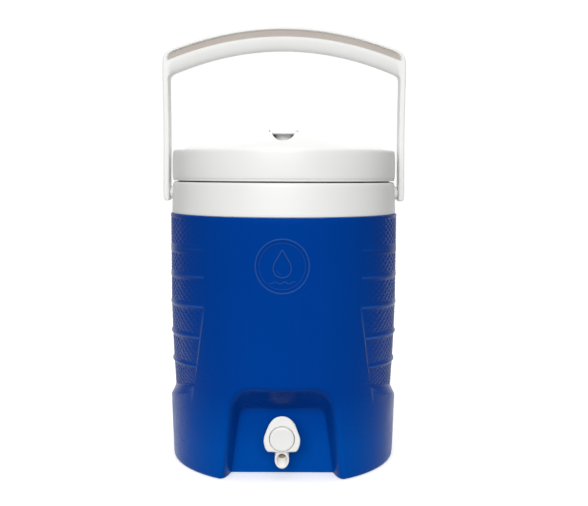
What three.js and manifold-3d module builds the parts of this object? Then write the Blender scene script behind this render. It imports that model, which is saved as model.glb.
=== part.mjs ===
// Insulated two-gallon beverage jug: blue outer shell with a spigot alcove, white
// liner, collar, lift-off domed lid with a lift bar, push-button spigot and a
// swing-over bail handle. Millimetres, +Z up, front of the jug towards -Y, origin at
// the centre of the base on the surface that the jug stands on.
import * as THREE from 'three';
import { mergeVertices } from 'three/addons/utils/BufferGeometryUtils.js';
import Module from 'manifold-3d';

const wasm = await Module();
wasm.setup();

// ---- driving dimensions ----
const SHELL_R = 123.3;          // outer radius of the straight body
const SHELL_TOP = 266;          // top rim of the blue shell
const WALL = 2.5;               // moulded wall
const FOOT_R = 123.6;           // largest radius of the foot flare
const COLLAR_TOP = 299.8;
const LID_BOTTOM = 301.2;       // lower edge of the lid's side wall
const LID_R = 121.3;
const DOME_TOP = 357.6;         // crown of the dome
const BAR_RISE = 1.4;           // lift bar stands this much above the dome
const LINER_R = 101;            // outside radius of the liner
const LINER_WALL = 2.5;
const LINER_FLOOR = 20;
const LINER_FLAT_Y = -67;       // outer face of the liner's front flat
const ALCOVE_Y = -82;           // back wall of the spigot alcove
const TAP_Z = 44.3;             // spigot axis height
const TAP_FRONT = -112;         // front face of the spigot plate
const SHANK_R = 9.5;
const BUTTON_TRAVEL = 4.5;      // button stroke towards +Y
const PIVOT_Z = 288;            // bail hinge axis
const PEG_R = 4.0;
const LEG_OUT = 131.2;          // outer face of a bail leg
const LEG_IN = 125.1;           // inner face of a bail leg
const BAIL_HALF_DEPTH = 11;
const GAP = 0.4;                // gap kept between touching pieces
const SEG = 48;                 // facets round the large turned pieces
const SEG_IN = 36;              // facets round the liner and its foam
const SEG_S = 20;               // facets round small pieces

// ---- helpers: closed meshes to solids and back ----
function solid(geometry) {
  let g = geometry.index ? geometry.toNonIndexed() : geometry.clone();
  for (const name of Object.keys(g.attributes)) if (name !== 'position') g.deleteAttribute(name);
  g = mergeVertices(g, 1e-4);
  const pos = g.attributes.position.array;
  const idx = g.index.array;
  const tri = [];
  let volume = 0;
  for (let i = 0; i < idx.length; i += 3) {
    const a = idx[i], b = idx[i + 1], c = idx[i + 2];
    if (a === b || b === c || a === c) continue;
    tri.push(a, b, c);
    const [ax, ay, az, bx, by, bz, cx, cy, cz] = [a, b, c].flatMap(k => [pos[3 * k], pos[3 * k + 1], pos[3 * k + 2]]);
    volume += ax * (by * cz - bz * cy) - ay * (bx * cz - bz * cx) + az * (bx * cy - by * cx);
  }
  if (volume < 0) for (let i = 0; i < tri.length; i += 3) [tri[i], tri[i + 1]] = [tri[i + 1], tri[i]];
  return new wasm.Manifold(new wasm.Mesh({
    numProp: 3, vertProperties: new Float32Array(pos), triVerts: new Uint32Array(tri),
  }));
}

function geometryOf(manifold) {
  const m = manifold.getMesh();
  const g = new THREE.BufferGeometry();
  const pos = new Float32Array(m.numVert * 3);
  for (let i = 0; i < m.numVert; i++) for (let k = 0; k < 3; k++) pos[3 * i + k] = m.vertProperties[i * m.numProp + k];
  g.setAttribute('position', new THREE.BufferAttribute(pos, 3));
  g.setIndex(new THREE.BufferAttribute(new Uint32Array(m.triVerts), 1));
  g.computeVertexNormals();
  return g;
}

// a body turned about Z from an (r, z) profile
function turnedZ(profile, segments = SEG) {
  const g = new THREE.LatheGeometry(profile.map(([r, z]) => new THREE.Vector2(r, z)), segments);
  g.rotateX(Math.PI / 2);
  return solid(g);
}
// a body turned about the spigot axis (parallel to Y) from an (r, y) profile
function turnedY(profile, segments = SEG_S) {
  const g = new THREE.LatheGeometry(profile.map(([r, y]) => new THREE.Vector2(r, y)), segments);
  g.translate(0, 0, TAP_Z);
  return solid(g);
}
const shapeOf = points => new THREE.Shape(points.map(([x, y]) => new THREE.Vector2(x, y)));
// an outline in X and Z, from y0 to y1
function plateXZ(points, y0, y1) {
  const g = new THREE.ExtrudeGeometry(shapeOf(points), { depth: y1 - y0, bevelEnabled: false });
  g.rotateX(Math.PI / 2);
  g.translate(0, y1, 0);
  return solid(g);
}
// an outline in Y and Z, from x0 to x1
function plateYZ(points, x0, x1) {
  const g = new THREE.ExtrudeGeometry(shapeOf(points), { depth: x1 - x0, bevelEnabled: false });
  g.rotateX(Math.PI / 2);
  g.rotateZ(Math.PI / 2);
  g.translate(x0, 0, 0);
  return solid(g);
}
// an outline in X and Y, from z0 to z1
function plateXY(points, z0, z1) {
  const g = new THREE.ExtrudeGeometry(shapeOf(points), { depth: z1 - z0, bevelEnabled: false });
  g.translate(0, 0, z0);
  return solid(g);
}
function box(x0, x1, y0, y1, z0, z1) {
  const g = new THREE.BoxGeometry(x1 - x0, y1 - y0, z1 - z0);
  g.translate((x0 + x1) / 2, (y0 + y1) / 2, (z0 + z1) / 2);
  return solid(g);
}
const rodY = (r, y0, y1, segments = SEG_S) => turnedY([[0, y0], [r, y0], [r, y1], [0, y1]], segments);
function rodX(r, x0, x1, z, segments = SEG_S) {
  const g = new THREE.CylinderGeometry(r, r, x1 - x0, segments);
  g.rotateZ(Math.PI / 2);
  g.translate((x0 + x1) / 2, 0, z);
  return solid(g);
}

// ---- spigot alcove, grown by `off` for its own wall and for the foam ----
function alcove(off) {
  const g = new THREE.BoxGeometry(2, 2, 2);
  const p = g.attributes.position;
  for (let i = 0; i < p.count; i++) {
    const front = p.getY(i) < 0, low = p.getZ(i) < 0;
    const half = (low ? (front ? 63.8 : 52.9) : (front ? 53.3 : 38.9)) + off;
    p.setXYZ(i, Math.sign(p.getX(i)) * half, front ? -131 : ALCOVE_Y + off, low ? -1 : 100 + off);
  }
  const roof = [[-123.3, 99.7], [-122.6, 96.3], [-120.2, 92.8], [-116.5, 89.5], [-110, 85.3], [-102, 80.8],
    [-94, 76.6], [-87.5, 73], [-83.6, 70], [-82, 66]];
  const outline = [[-131, -2], [-131, 99.7 + off * 2], ...roof.map(([y, z]) => [y + off, z + off]), [ALCOVE_Y + off, -2]];
  outline[1][1] = outline[2][1];
  return solid(g).intersect(plateYZ(outline, -80, 80));
}

// ---- outer shell ----
const shellOutline = [[0, 0], [117, 0], [119.6, 0.7], [121.1, 2.4], [121.7, 8], [121.9, 14], [122.4, 25], [123.2, 47], [FOOT_R, 64],
  [123.4, 80], [SHELL_R, 94], [SHELL_R, SHELL_TOP], [0, SHELL_TOP]];
const shellSolid = turnedZ(shellOutline);
const cavityProfile = [[0, 8], [96, 8], [103, 3], [113.5, 3], [116, 8], [116.4, 100], [118, 140], [119.9, 168],
  [120.8, 205], [120.8, SHELL_TOP + 2], [0, SHELL_TOP + 2]];
const shellCavity = turnedZ(cavityProfile);
// recessed side panels: a tapered ring kept only between the two slanting panel edges
function sidePanels() {
  const ring = turnedZ([[123.9, 63.5], [119.1, 75.3], [119.9, 94], [120.8, 108], [121.5, 137], [122.55, 170.5],
    [123.35, 207], [126, 207], [126, 63.5], [123.9, 63.5]]);
  const at = deg => [180 * Math.sin(deg * Math.PI / 180), -180 * Math.cos(deg * Math.PI / 180)];
  const wedge = side => {
    const pts = [[0, 0], ...[0, 1, 2, 3, 4].map(k => at(40 + k * 25))];
    const g = new THREE.ExtrudeGeometry(shapeOf(pts), { depth: 1, bevelEnabled: false });
    const p = g.attributes.position;
    for (let i = 0; i < p.count; i++) {
      const x = p.getX(i), y = p.getY(i), low = p.getZ(i) < 0.5;
      const r = Math.hypot(x, y);
      let a = Math.atan2(x, -y) * 180 / Math.PI;
      const edge = low ? 49.8 : 35.8;
      if (r > 1 && a < 60) a = edge; else if (r > 1 && a > 120) a = 180 - edge;
      p.setXYZ(i, side * r * Math.sin(a * Math.PI / 180), -r * Math.cos(a * Math.PI / 180), low ? 60 : 210);
    }
    return solid(g);
  };
  return ring.intersect(wedge(1)).add(ring.intersect(wedge(-1)));
}
const shankHole = rodY(10.2, -92, -50);
const baseRecess = turnedZ([[0, -1], [100, -1], [97, 5], [0, 5]], SEG_IN).intersect(box(-110, 110, -72, 110, -2, 6));
const outerShell = shellSolid.subtract(shellCavity).add(alcove(WALL).intersect(shellSolid))
  .subtract(alcove(0)).subtract(sidePanels()).subtract(shankHole).subtract(baseRecess)
  .subtract(turnedZ([[0, 2], [8.3, 2], [8.3, 12], [0, 12]], SEG_S));

// ---- liner ----
function linerFlat(off) {   // the space in front of the liner's flat
  return plateYZ([[-135, -5], [-135, 112], [-101.5 + off, 107], [LINER_FLAT_Y + off, 85], [LINER_FLAT_Y + off, -5]], -110, 110);
}
const linerEnvelope = turnedZ([[0, LINER_FLOOR], [98, LINER_FLOOR], [LINER_R, LINER_FLOOR + 3], [LINER_R, 293.3],
  [114, 293.3], [114, 296.4], [0, 296.4]], SEG_IN);
const linerCavity = turnedZ([[0, LINER_FLOOR + 2.6], [97, LINER_FLOOR + 2.6], [98.5, LINER_FLOOR + 4.2], [98.5, 298], [0, 298]], SEG_IN);
const innerLiner = linerEnvelope.subtract(linerCavity).add(linerFlat(LINER_WALL).intersect(linerEnvelope))
  .subtract(linerFlat(0)).subtract(shankHole);

// ---- foam between shell and liner ----
const foamBody = turnedZ([[0, 8 + GAP], [96, 8 + GAP], [103, 3 + GAP], [113, 3 + GAP], [115.6, 8 + GAP], [116, 100], [117.5, 140],
  [119.4, 168], [120.3, 205], [120.3, 255.5], [116.8, 255.5], [116.8, 292.8], [0, 292.8]], SEG_IN);
const linerClear = turnedZ([[0, LINER_FLOOR - GAP], [98.2, LINER_FLOOR - GAP], [LINER_R + GAP, LINER_FLOOR + 2.8],
  [LINER_R + GAP, 297], [0, 297]], SEG_IN).subtract(linerFlat(-GAP));
const foam = foamBody.subtract(linerClear).subtract(alcove(WALL + GAP)).subtract(rodY(10.5, -92, -50));

// ---- collar with the two pivot bosses ----
const collarRing = turnedZ([[122, 266.4], [122, 268], [121.4, 284], [120.7, 298.6], [119.8, COLLAR_TOP], [103.5, COLLAR_TOP],
  [103.5, 296.8], [117.3, 296.8], [117.3, 256], [120.4, 256], [120.4, 266.4], [122, 266.4]])
  .add(rodX(7, 118.5, 124.7, PIVOT_Z)).add(rodX(7, -124.7, -118.5, PIVOT_Z))
  .subtract(rodX(PEG_R + 0.12, 110, 130, PIVOT_Z)).subtract(rodX(PEG_R + 0.12, -130, -110, PIVOT_Z));

// ---- base plug ----
const fillPlug = turnedZ([[0, 2.8], [11, 2.8], [11, 4.6], [7.8, 4.6], [7.8, 8.1], [0, 8.1]], SEG_S);

// ---- lid ----
const dome = [[110.4, 334.3], [101.6, 338.5], [92.7, 342.2], [83.8, 345.8], [70.5, 349.6], [57.2, 352.4], [43.8, 354.5],
  [30.5, 356.2], [16, 357.2], [0, DOME_TOP]];
const lidEnvelope = turnedZ([[0, LID_BOTTOM], [120.5, LID_BOTTOM], [120.5, 303.4], [LID_R - 0.2, 303.8], [LID_R, 316],
  [120.9, 331], [118.9, 333.6], [111.6, 333.9], ...dome]);
const lidCavity = turnedZ([[0, LID_BOTTOM - 2], [118.2, LID_BOTTOM - 2], [118.2, 330.8], [109, 331.2],
  ...dome.filter((_, i) => i % 2 === 0 || i === dome.length - 1).map(([r, z]) => [r * 0.985, z - 2.6])]);
function liftTrough(off) {
  const half = 15.2 + off, scoop = 11.5 + off, tip = 94 + off, end = 62 + off;
  const right = [[half, -end], [half, end]];
  const arc = [];
  for (let k = 0; k <= 8; k++) {
    const t = Math.PI * k / 8;
    arc.push([scoop * Math.cos(t), end - 2 + (tip - end + 2) * Math.sin(t)]);
  }
  const pts = [...right, ...arc, [-half, end], [-half, -end], ...arc.map(([x, y]) => [-x, -y])];
  return plateXY(pts, 335 - off, 365);
}
const lidShell = lidEnvelope.subtract(lidCavity).add(liftTrough(WALL).intersect(lidEnvelope)).subtract(liftTrough(0));
const lidLiner = turnedZ([[0, 276], [97, 276], [97.8, 278], [97.8, 301.6], [117.6, 301.6], [117.6, 303.8], [95.4, 303.8],
  [95.4, 278.4], [0, 278.4]], SEG_IN).subtract(turnedZ([[0, 270], [6.2, 270], [6.2, 285], [0, 285]], SEG_S));
const lidPlug = turnedZ([[0, 274.2], [9, 274.2], [9, 275.6], [5.8, 275.6], [5.8, 278.3], [0, 278.3]], SEG_S);
const lidFoam = turnedZ([[0, 278.8], [94.8, 278.8], [94.8, 300.8], [0, 300.8]], SEG_IN);
const lidGasket = turnedZ([[104.5, 300.1], [115.5, 300.1], [115.5, 301.3], [104.5, 301.3], [104.5, 300.1]], SEG_IN);
// lift bar: crowned plate on a central web that stands on the trough floor
const crown = [[-60, 353.2], [-50, 354.9], [-40, 356.4], [-28, 357.8], [-14, 358.7], [0, DOME_TOP + BAR_RISE], [14, 358.7],
  [28, 357.8], [40, 356.4], [50, 354.9], [60, 353.2]];
const liftBar = plateYZ([...crown, [60, 349.4], [-60, 349.4]], -14.6, 14.6)
  .add(plateXY([[-9, -42], [-5, -46], [5, -46], [9, -42], [9, 42], [5, 46], [-5, 46], [-9, 42]], 335 + GAP, 352));

// ---- spigot ----
const bell = [[0, 68.2], [4.5, 67.4], [7.8, 65.7], [10.7, 63.3], [12.2, 61.3], [13.4, 59.1], [14.4, 56.8], [15.2, 54.2],
  [16.5, 51.2], [17.4, 49], [17.9, 46.8], [18.4, 43.4], [18.1, 39.4], [17.1, 36], [15.6, 33], [13.5, 31.3]];
const bellOutline = [...bell, ...bell.slice(1).reverse().map(([x, z]) => [-x, z])];
// spout: a tube that leaves the chamber down and forwards at 45 degrees and is cut off upright
function spoutRod(r, length) {
  const g = new THREE.CylinderGeometry(r, r, length, 24);
  g.translate(0, -length / 2, 0);               // from the origin towards -Y
  g.rotateX(Math.PI / 4);                       // down and forwards
  g.translate(0, -92, 39.6);
  return solid(g);
}
const mouthCut = plateYZ([[-150, -5], [-150, 34], [TAP_FRONT + 1.0, 34], [TAP_FRONT + 4.0, 5], [TAP_FRONT + 4.0, -5]], -30, 30);
const spout = spoutRod(7.2, 40).subtract(mouthCut);
const spigotBody = plateXZ(bellOutline, TAP_FRONT, -103)
  .add(rodY(15.4, -104, -86)).add(rodY(17.5, -87, -84)).add(rodY(SHANK_R, -84.5, -52)).add(spout)
  .subtract(rodY(12.9, -114, -101)).subtract(rodY(2.9, -102, -97)).subtract(rodY(8, -98, -86.5))
  .subtract(rodY(5.4, -87, -83.5)).subtract(rodY(7, -84, -50)).subtract(spoutRod(5.25, 44));
const pushButton = turnedY([[0, -114.5], [11.6, -114.5], [12.4, -113.7], [12.4, -106.5], [10.6, -106.5], [10.6, -112.2],
  [4.6, -112.2], [4.6, -107], [2.8, -107], [2.8, -111.9], [0, -111.9]]);
const valveStem = turnedY([[0, -111.5], [2.5, -111.5], [2.5, -80.9], [4.2, -80.9], [4.2, -79.2], [0, -79.2]], 16);
const valveSeal = turnedY([[2.9, -83.7], [6.3, -83.7], [6.3, -81.2], [2.9, -81.2], [2.9, -83.7]], 24);
const washerOuter = turnedY([[10, -83.7], [17, -83.7], [17, -82.3], [10, -82.3], [10, -83.7]]);
const washerInner = turnedY([[10, -64.2], [15.5, -64.2], [15.5, -62.2], [10, -62.2], [10, -64.2]]);
const lockNut = rodY(17.5, -61.9, -54, 6).subtract(rodY(9.9, -64, -50));
function springGeometry() {
  const turns = 4.5, radius = 7.5, y0 = -111.5, y1 = -102;
  const points = [];
  for (let k = 0; k <= 48; k++) {
    const t = k / 48, a = t * turns * 2 * Math.PI;
    points.push(new THREE.Vector3(radius * Math.cos(a), y0 + (y1 - y0) * t, TAP_Z + radius * Math.sin(a)));
  }
  const wire = new THREE.Shape();
  for (let k = 0; k < 5; k++) {
    const a = k * Math.PI * 0.4;
    if (k) wire.lineTo(0.5 * Math.cos(a), 0.5 * Math.sin(a)); else wire.moveTo(0.5, 0);
  }
  return new THREE.ExtrudeGeometry(wire, { steps: 48, bevelEnabled: false, extrudePath: new THREE.CatmullRomCurve3(points) });
}

// ---- bail handle ----
const ARCH_TOP = 465.8, ARCH_DROP = 0.001617;
const archAt = (z0, x, k = ARCH_DROP) => z0 - k * x * x;
function bailHandle() {
  const xs = [];
  for (let x = 120; x >= -120; x -= 12) xs.push(x);
  const legOut = [[128.2, 279], [130.4, 280.2], [LEG_OUT, 283], [LEG_OUT, 300], [130.6, 340], [130.5, 367], [131, 400],
    [LEG_OUT, 425], [130.6, 431.5], [128, 437.2], [124.6, 440.6]];
  const legIn = [[LEG_IN, 279.8], [LEG_IN, 300], [124.6, 340], [124.5, 367], [124.9, 400], [LEG_IN, 410], [123.6, 413.4]];
  const outline = [
    ...legOut,
    ...xs.map(x => [x, archAt(ARCH_TOP, x)]),
    ...[...legOut].reverse().map(([x, z]) => [-x, z]),
    ...legIn.map(([x, z]) => [-x, z]),
    ...[...xs].reverse().map(x => [x, archAt(440.5, x, 0.00175)]),
    ...[...legIn].reverse(),
  ];
  let body = plateXZ(outline, -BAIL_HALF_DEPTH, BAIL_HALF_DEPTH);
  const recess = [
    [126.2, 429.6], [126.2, 433], [124.6, 436.6], [121.5, 439.2],
    ...xs.filter(x => Math.abs(x) < 119).map(x => [x, archAt(463.4, x)]),
    [-121.5, 439.2], [-124.6, 436.6], [-126.2, 433], [-126.2, 429.6],
    ...[...xs].reverse().map(x => [x, archAt(455, x)]),
  ];
  body = body.subtract(plateXZ(recess, -BAIL_HALF_DEPTH - 2, -4.5)).subtract(plateXZ(recess, 4.5, BAIL_HALF_DEPTH + 2));
  return body.add(rodX(PEG_R, 117.6, 126, PIVOT_Z)).add(rodX(PEG_R, -126, -117.6, PIVOT_Z));
}

// ---- assembly ----
const jug = new THREE.Group();
function piece(name, shape, color, roughness, metalness = 0) {
  const geometry = shape.isBufferGeometry ? shape : geometryOf(shape);
  const mesh = new THREE.Mesh(geometry, new THREE.MeshStandardMaterial({ color, roughness, metalness }));
  mesh.name = name;
  jug.add(mesh);
}
const BLUE = 0x003c94, WHITE = 0xf0f0ee, NATURAL = 0xe6e6e0, FOAM = 0xe8d9a8, RUBBER = 0x2c2c2e, SILICONE = 0xc9c6bd;
piece('outer_shell', outerShell, BLUE, 0.5);
piece('inner_liner', innerLiner, NATURAL, 0.45);
piece('insulation_foam', foam, FOAM, 0.95);
piece('collar_ring', collarRing, WHITE, 0.4);
piece('foam_fill_plug', fillPlug, BLUE, 0.5);
piece('spigot_body', spigotBody, WHITE, 0.35);
piece('spigot_washer_outer', washerOuter, RUBBER, 0.8);
piece('spigot_washer_inner', washerInner, RUBBER, 0.8);
piece('spigot_lock_nut', lockNut, WHITE, 0.4);
piece('button_spring', springGeometry(), 0xb9bcc0, 0.3, 1);
piece('push_button', pushButton, WHITE, 0.35);
piece('valve_stem', valveStem, WHITE, 0.4);
piece('valve_seal', valveSeal, RUBBER, 0.8);
piece('lid_shell', lidShell, WHITE, 0.4);
piece('lid_grip_bar', liftBar, WHITE, 0.4);
piece('lid_liner', lidLiner, NATURAL, 0.45);
piece('lid_insulation', lidFoam, FOAM, 0.95);
piece('lid_gasket', lidGasket, SILICONE, 0.8);
piece('lid_fill_plug', lidPlug, NATURAL, 0.45);
piece('bail_handle', bailHandle(), WHITE, 0.4);

export default jug;
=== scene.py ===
import math

import bmesh
import bpy
import numpy as np
from mathutils import Euler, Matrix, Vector
from mathutils.geometry import delaunay_2d_cdt


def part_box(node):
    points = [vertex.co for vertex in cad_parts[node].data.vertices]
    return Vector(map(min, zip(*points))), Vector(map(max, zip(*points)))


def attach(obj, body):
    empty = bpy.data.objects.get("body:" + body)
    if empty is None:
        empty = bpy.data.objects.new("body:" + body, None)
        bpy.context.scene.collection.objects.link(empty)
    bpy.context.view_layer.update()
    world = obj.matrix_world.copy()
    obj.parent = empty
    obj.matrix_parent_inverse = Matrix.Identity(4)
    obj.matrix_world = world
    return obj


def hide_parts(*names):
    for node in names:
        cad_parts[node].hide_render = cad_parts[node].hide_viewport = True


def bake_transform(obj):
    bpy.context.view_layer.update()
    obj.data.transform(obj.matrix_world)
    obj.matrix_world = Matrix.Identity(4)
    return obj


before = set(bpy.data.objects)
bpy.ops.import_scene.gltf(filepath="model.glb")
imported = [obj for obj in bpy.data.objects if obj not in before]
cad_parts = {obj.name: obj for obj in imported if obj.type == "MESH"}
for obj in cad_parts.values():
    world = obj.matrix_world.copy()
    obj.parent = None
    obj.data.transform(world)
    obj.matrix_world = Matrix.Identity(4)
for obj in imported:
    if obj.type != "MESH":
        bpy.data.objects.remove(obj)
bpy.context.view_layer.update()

MM = 0.001


def mm(node):
    lo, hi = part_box(node)
    return np.array(lo) * 1000.0, np.array(hi) * 1000.0


# ---------------------------------------------------------------- small maths
def sstep(a, b, x):
    t = np.clip((np.asarray(x, float) - a) / (b - a), 0, 1)
    return t * t * (3 - 2 * t)


def lerp(a, b, t):
    return a + (b - a) * t


def resample(points, step, closed=False):
    p = np.asarray(points, float)
    if closed:
        p = np.vstack([p, p[:1]])
    d = np.r_[0, np.cumsum(np.hypot(*(p[1:] - p[:-1]).T))]
    n = max(3, int(round(d[-1] / step)))
    s = np.linspace(0, d[-1], n + 1)
    out = np.c_[np.interp(s, d, p[:, 0]), np.interp(s, d, p[:, 1])]
    return out[:-1] if closed else out


def rounded(points, times=2, closed=True):
    """Corner cutting, so that a measured outline becomes a smooth one."""
    p = np.asarray(points, float)
    for _ in range(times):
        q = np.roll(p, -1, axis=0)
        if closed:
            p = np.stack([0.75 * p + 0.25 * q, 0.25 * p + 0.75 * q], 1).reshape(-1, 2)
        else:
            a, b = p[:-1], p[1:]
            mid = np.stack([0.75 * a + 0.25 * b, 0.25 * a + 0.75 * b], 1).reshape(-1, 2)
            p = np.vstack([p[:1], mid[1:-1], p[-1:]])
    return p


def area(p):
    x, y = p[:, 0], p[:, 1]
    return 0.5 * float(np.sum(x * np.roll(y, -1) - np.roll(x, -1) * y))


def inset(p, d):
    """The closed outline moved inwards by d (outwards if negative)."""
    p = np.asarray(p, float)
    t = np.roll(p, -1, 0) - np.roll(p, 1, 0)
    t /= np.maximum(np.hypot(t[:, 0], t[:, 1]), 1e-9)[:, None]
    n = np.c_[-t[:, 1], t[:, 0]] * (1 if area(p) > 0 else -1)
    return p + n * d


def inside(poly, pts):
    poly, pts = np.asarray(poly, float), np.asarray(pts, float)
    x, y = pts[:, 0], pts[:, 1]
    hit = np.zeros(len(pts), bool)
    a, b = poly, np.roll(poly, -1, 0)
    for (x0, y0), (x1, y1) in zip(a, b):
        if y0 == y1:
            continue
        c = (y0 > y) != (y1 > y)
        hit ^= c & (x < (x1 - x0) * (y - y0) / (y1 - y0) + x0)
    return hit


def gap_to(line, pts, closed=False):
    """Distance of each point to a polyline, and the nearest place on it from 0 to 1."""
    line, pts = np.asarray(line, float), np.asarray(pts, float)
    a = line
    b = np.roll(line, -1, 0) if closed else line[1:]
    a = a if closed else line[:-1]
    best, where = np.full(len(pts), 1e9), np.zeros(len(pts))
    n = len(a)
    for k in range(n):
        ab = b[k] - a[k]
        t = np.clip(((pts - a[k]) @ ab) / max(ab @ ab, 1e-12), 0, 1)
        d = np.hypot(*(pts - a[k] - t[:, None] * ab).T)
        m = d < best
        best[m] = d[m]
        where[m] = (k + t[m]) / n
    return best, where


# ---------------------------------------------------------------- mesh store
class Body:
    """Vertices in millimetres and faces, joined into one object at the end."""

    def __init__(self):
        self.v, self.f, self.n = [], [], 0

    def add(self, verts, faces):
        verts = np.asarray(verts, float).reshape(-1, 3)
        off = self.n
        self.v.append(verts)
        self.f.extend([tuple(int(i) + off for i in f) for f in faces])
        self.n += len(verts)
        return off

    def grid(self, P, close_u=False, close_v=False, flip=None):
        """P is rows x columns x 3. flip says which diagonal each cell is cut along, or None for four-sided faces."""
        nu, nv = P.shape[0], P.shape[1]
        faces = []
        for i in range(nu if close_u else nu - 1):
            i2 = (i + 1) % nu
            for j in range(nv if close_v else nv - 1):
                j2 = (j + 1) % nv
                a, b, c, d = i * nv + j, i * nv + j2, i2 * nv + j2, i2 * nv + j
                if flip is None:
                    faces.append((a, b, c, d))
                elif flip[i, j]:
                    faces += [(a, b, c), (a, c, d)]
                else:
                    faces += [(a, b, d), (b, c, d)]
        self.add(P.reshape(-1, 3), faces)

    def lathe(self, profile, axis="z", segs=128, centre=(0, 0, 0)):
        """A closed (radius, height) profile turned about an axis through centre. Points at radius 0 become one vertex."""
        prof = np.asarray(profile, float)
        a = np.arange(segs) * 2 * math.pi / segs
        verts, rings = [], []
        for r, h in prof:
            if r < 1e-6:
                ring = [len(verts)]
                verts.append((0, 0, h))
            else:
                ring = list(range(len(verts), len(verts) + segs))
                verts += [(r * math.sin(t), -r * math.cos(t), h) for t in a]
            rings.append(ring)
        faces = []
        for k in range(len(rings)):
            p, q = rings[k], rings[(k + 1) % len(rings)]
            if len(p) == 1 and len(q) == 1:
                continue
            for j in range(segs):
                j2 = (j + 1) % segs
                if len(p) == 1:
                    faces.append((p[0], q[j], q[j2]))
                elif len(q) == 1:
                    faces.append((p[j], q[0], p[j2]))
                else:
                    faces.append((p[j], q[j], q[j2], p[j2]))
        v = np.array(verts)
        if axis == "y":
            v = np.c_[v[:, 0], v[:, 2], v[:, 1]]
        elif axis == "x":
            v = np.c_[v[:, 2], v[:, 0], v[:, 1]]
        self.add(v + np.array(centre, float), faces)

    def make(self, name, body, material, sharp=38.0, replaces=(), weld=2e-6):
        bm = bmesh.new()
        v = np.vstack(self.v) * MM
        made = [bm.verts.new(p) for p in v.tolist()]
        for f in self.f:
            if len(set(f)) == len(f):
                try:
                    bm.faces.new([made[i] for i in f])
                except ValueError:
                    pass
        bmesh.ops.remove_doubles(bm, verts=bm.verts, dist=weld)
        loose = [x for x in bm.verts if not x.link_faces]
        bmesh.ops.delete(bm, geom=loose, context="VERTS")
        bmesh.ops.recalc_face_normals(bm, faces=bm.faces)
        open_edges = sum(1 for e in bm.edges if len(e.link_faces) != 2)
        me = bpy.data.meshes.new(name)
        bm.to_mesh(me)
        bm.free()
        me.polygons.foreach_set("use_smooth", [True] * len(me.polygons))
        me.set_sharp_from_angle(angle=math.radians(sharp))
        o = bpy.data.objects.new(name, me)
        bpy.context.scene.collection.objects.link(o)
        me.materials.append(material)
        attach(o, body)
        if replaces:
            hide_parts(*replaces)
        tris = sum(len(p.vertices) - 2 for p in me.polygons)
        print(f"PIECE {name}: {len(me.vertices)} vertices, {tris} triangles, {open_edges} open edges")
        return o


def cdt(points, edges):
    """Constrained triangulation. Returns (points, triangles, for each point its number in the input or -1)."""
    vs = [Vector((float(x), float(y))) for x, y in points]
    V, _, F, ov, _, _ = delaunay_2d_cdt(vs, [tuple(map(int, e)) for e in edges], [], 0, 1e-6)
    src = np.array([o[0] if len(o) else -1 for o in ov])
    P = np.array([[v[0], v[1]] for v in V])
    given = np.asarray(points, float)
    ok = src >= 0
    P[ok] = given[src[ok]]
    return P, np.array([f for f in F if len(f) == 3], int), src


def tidy(P, T, least=0.004):
    """Takes out slivers: one whose long side is on the outside goes, any other is turned together with its neighbour."""
    T = [tuple(int(i) for i in t) for t in T]
    for _ in range(40):
        A = np.array(T)
        a, b, c = P[A[:, 0]], P[A[:, 1]], P[A[:, 2]]
        cross = np.abs((b[:, 0] - a[:, 0]) * (c[:, 1] - a[:, 1]) - (b[:, 1] - a[:, 1]) * (c[:, 0] - a[:, 0]))
        sides = np.stack([np.hypot(*(b - a).T), np.hypot(*(c - b).T), np.hypot(*(a - c).T)], 1)
        thin = np.where(cross / np.maximum(sides.max(1), 1e-9) < least)[0]
        if not len(thin):
            break
        owner = {}
        for k, t in enumerate(T):
            for j in range(3):
                owner.setdefault(frozenset((t[j], t[(j + 1) % 3])), []).append(k)
        gone, fresh = set(), []
        slim = set(int(k) for k in thin)
        outer_first = [k for k in slim if any(len(owner[frozenset((T[k][j], T[k][(j + 1) % 3]))]) == 1 for j in [int(sides[k].argmax())])]
        if outer_first:
            T = [t for k, t in enumerate(T) if k not in set(outer_first)]
            continue
        for k in sorted(slim):
            if k in gone:
                continue
            j = int(sides[k].argmax())
            p, q, tip = T[k][j], T[k][(j + 1) % 3], T[k][(j + 2) % 3]
            other = [o for o in owner[frozenset((p, q))] if o != k]
            if not other or other[0] in gone or other[0] in slim:
                continue
            o = other[0]
            far = [v for v in T[o] if v not in (p, q)]
            if len(far) != 1 or far[0] == tip:
                continue
            gone |= {k, o}
            fresh += [(tip, far[0], p), (tip, q, far[0])]
        if not gone:
            break
        T = [t for k, t in enumerate(T) if k not in gone] + fresh
    return np.array(T, int)


def ring_edges(start, n):
    return [(start + k, start + (k + 1) % n) for k in range(n)]


def fill(loops, extra=None, outer=0, holes=()):
    """Triangulates inside loops[outer] and outside the loops named in holes. All loops are kept as edges.
    Returns points, triangles, and for each point its number in the stacked input."""
    pts, edges = [], []
    n = 0
    for lp in loops:
        pts.append(np.asarray(lp, float))
        edges += ring_edges(n, len(lp))
        n += len(lp)
    if extra is not None and len(extra):
        pts.append(np.asarray(extra, float))
    allp = np.vstack(pts)
    P, T, src = cdt(allp, edges)
    c = P[T].mean(1)
    keep = inside(loops[outer], c)
    for h in holes:
        keep &= ~inside(loops[h], c)
    return P, tidy(P, T[keep]), src


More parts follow.
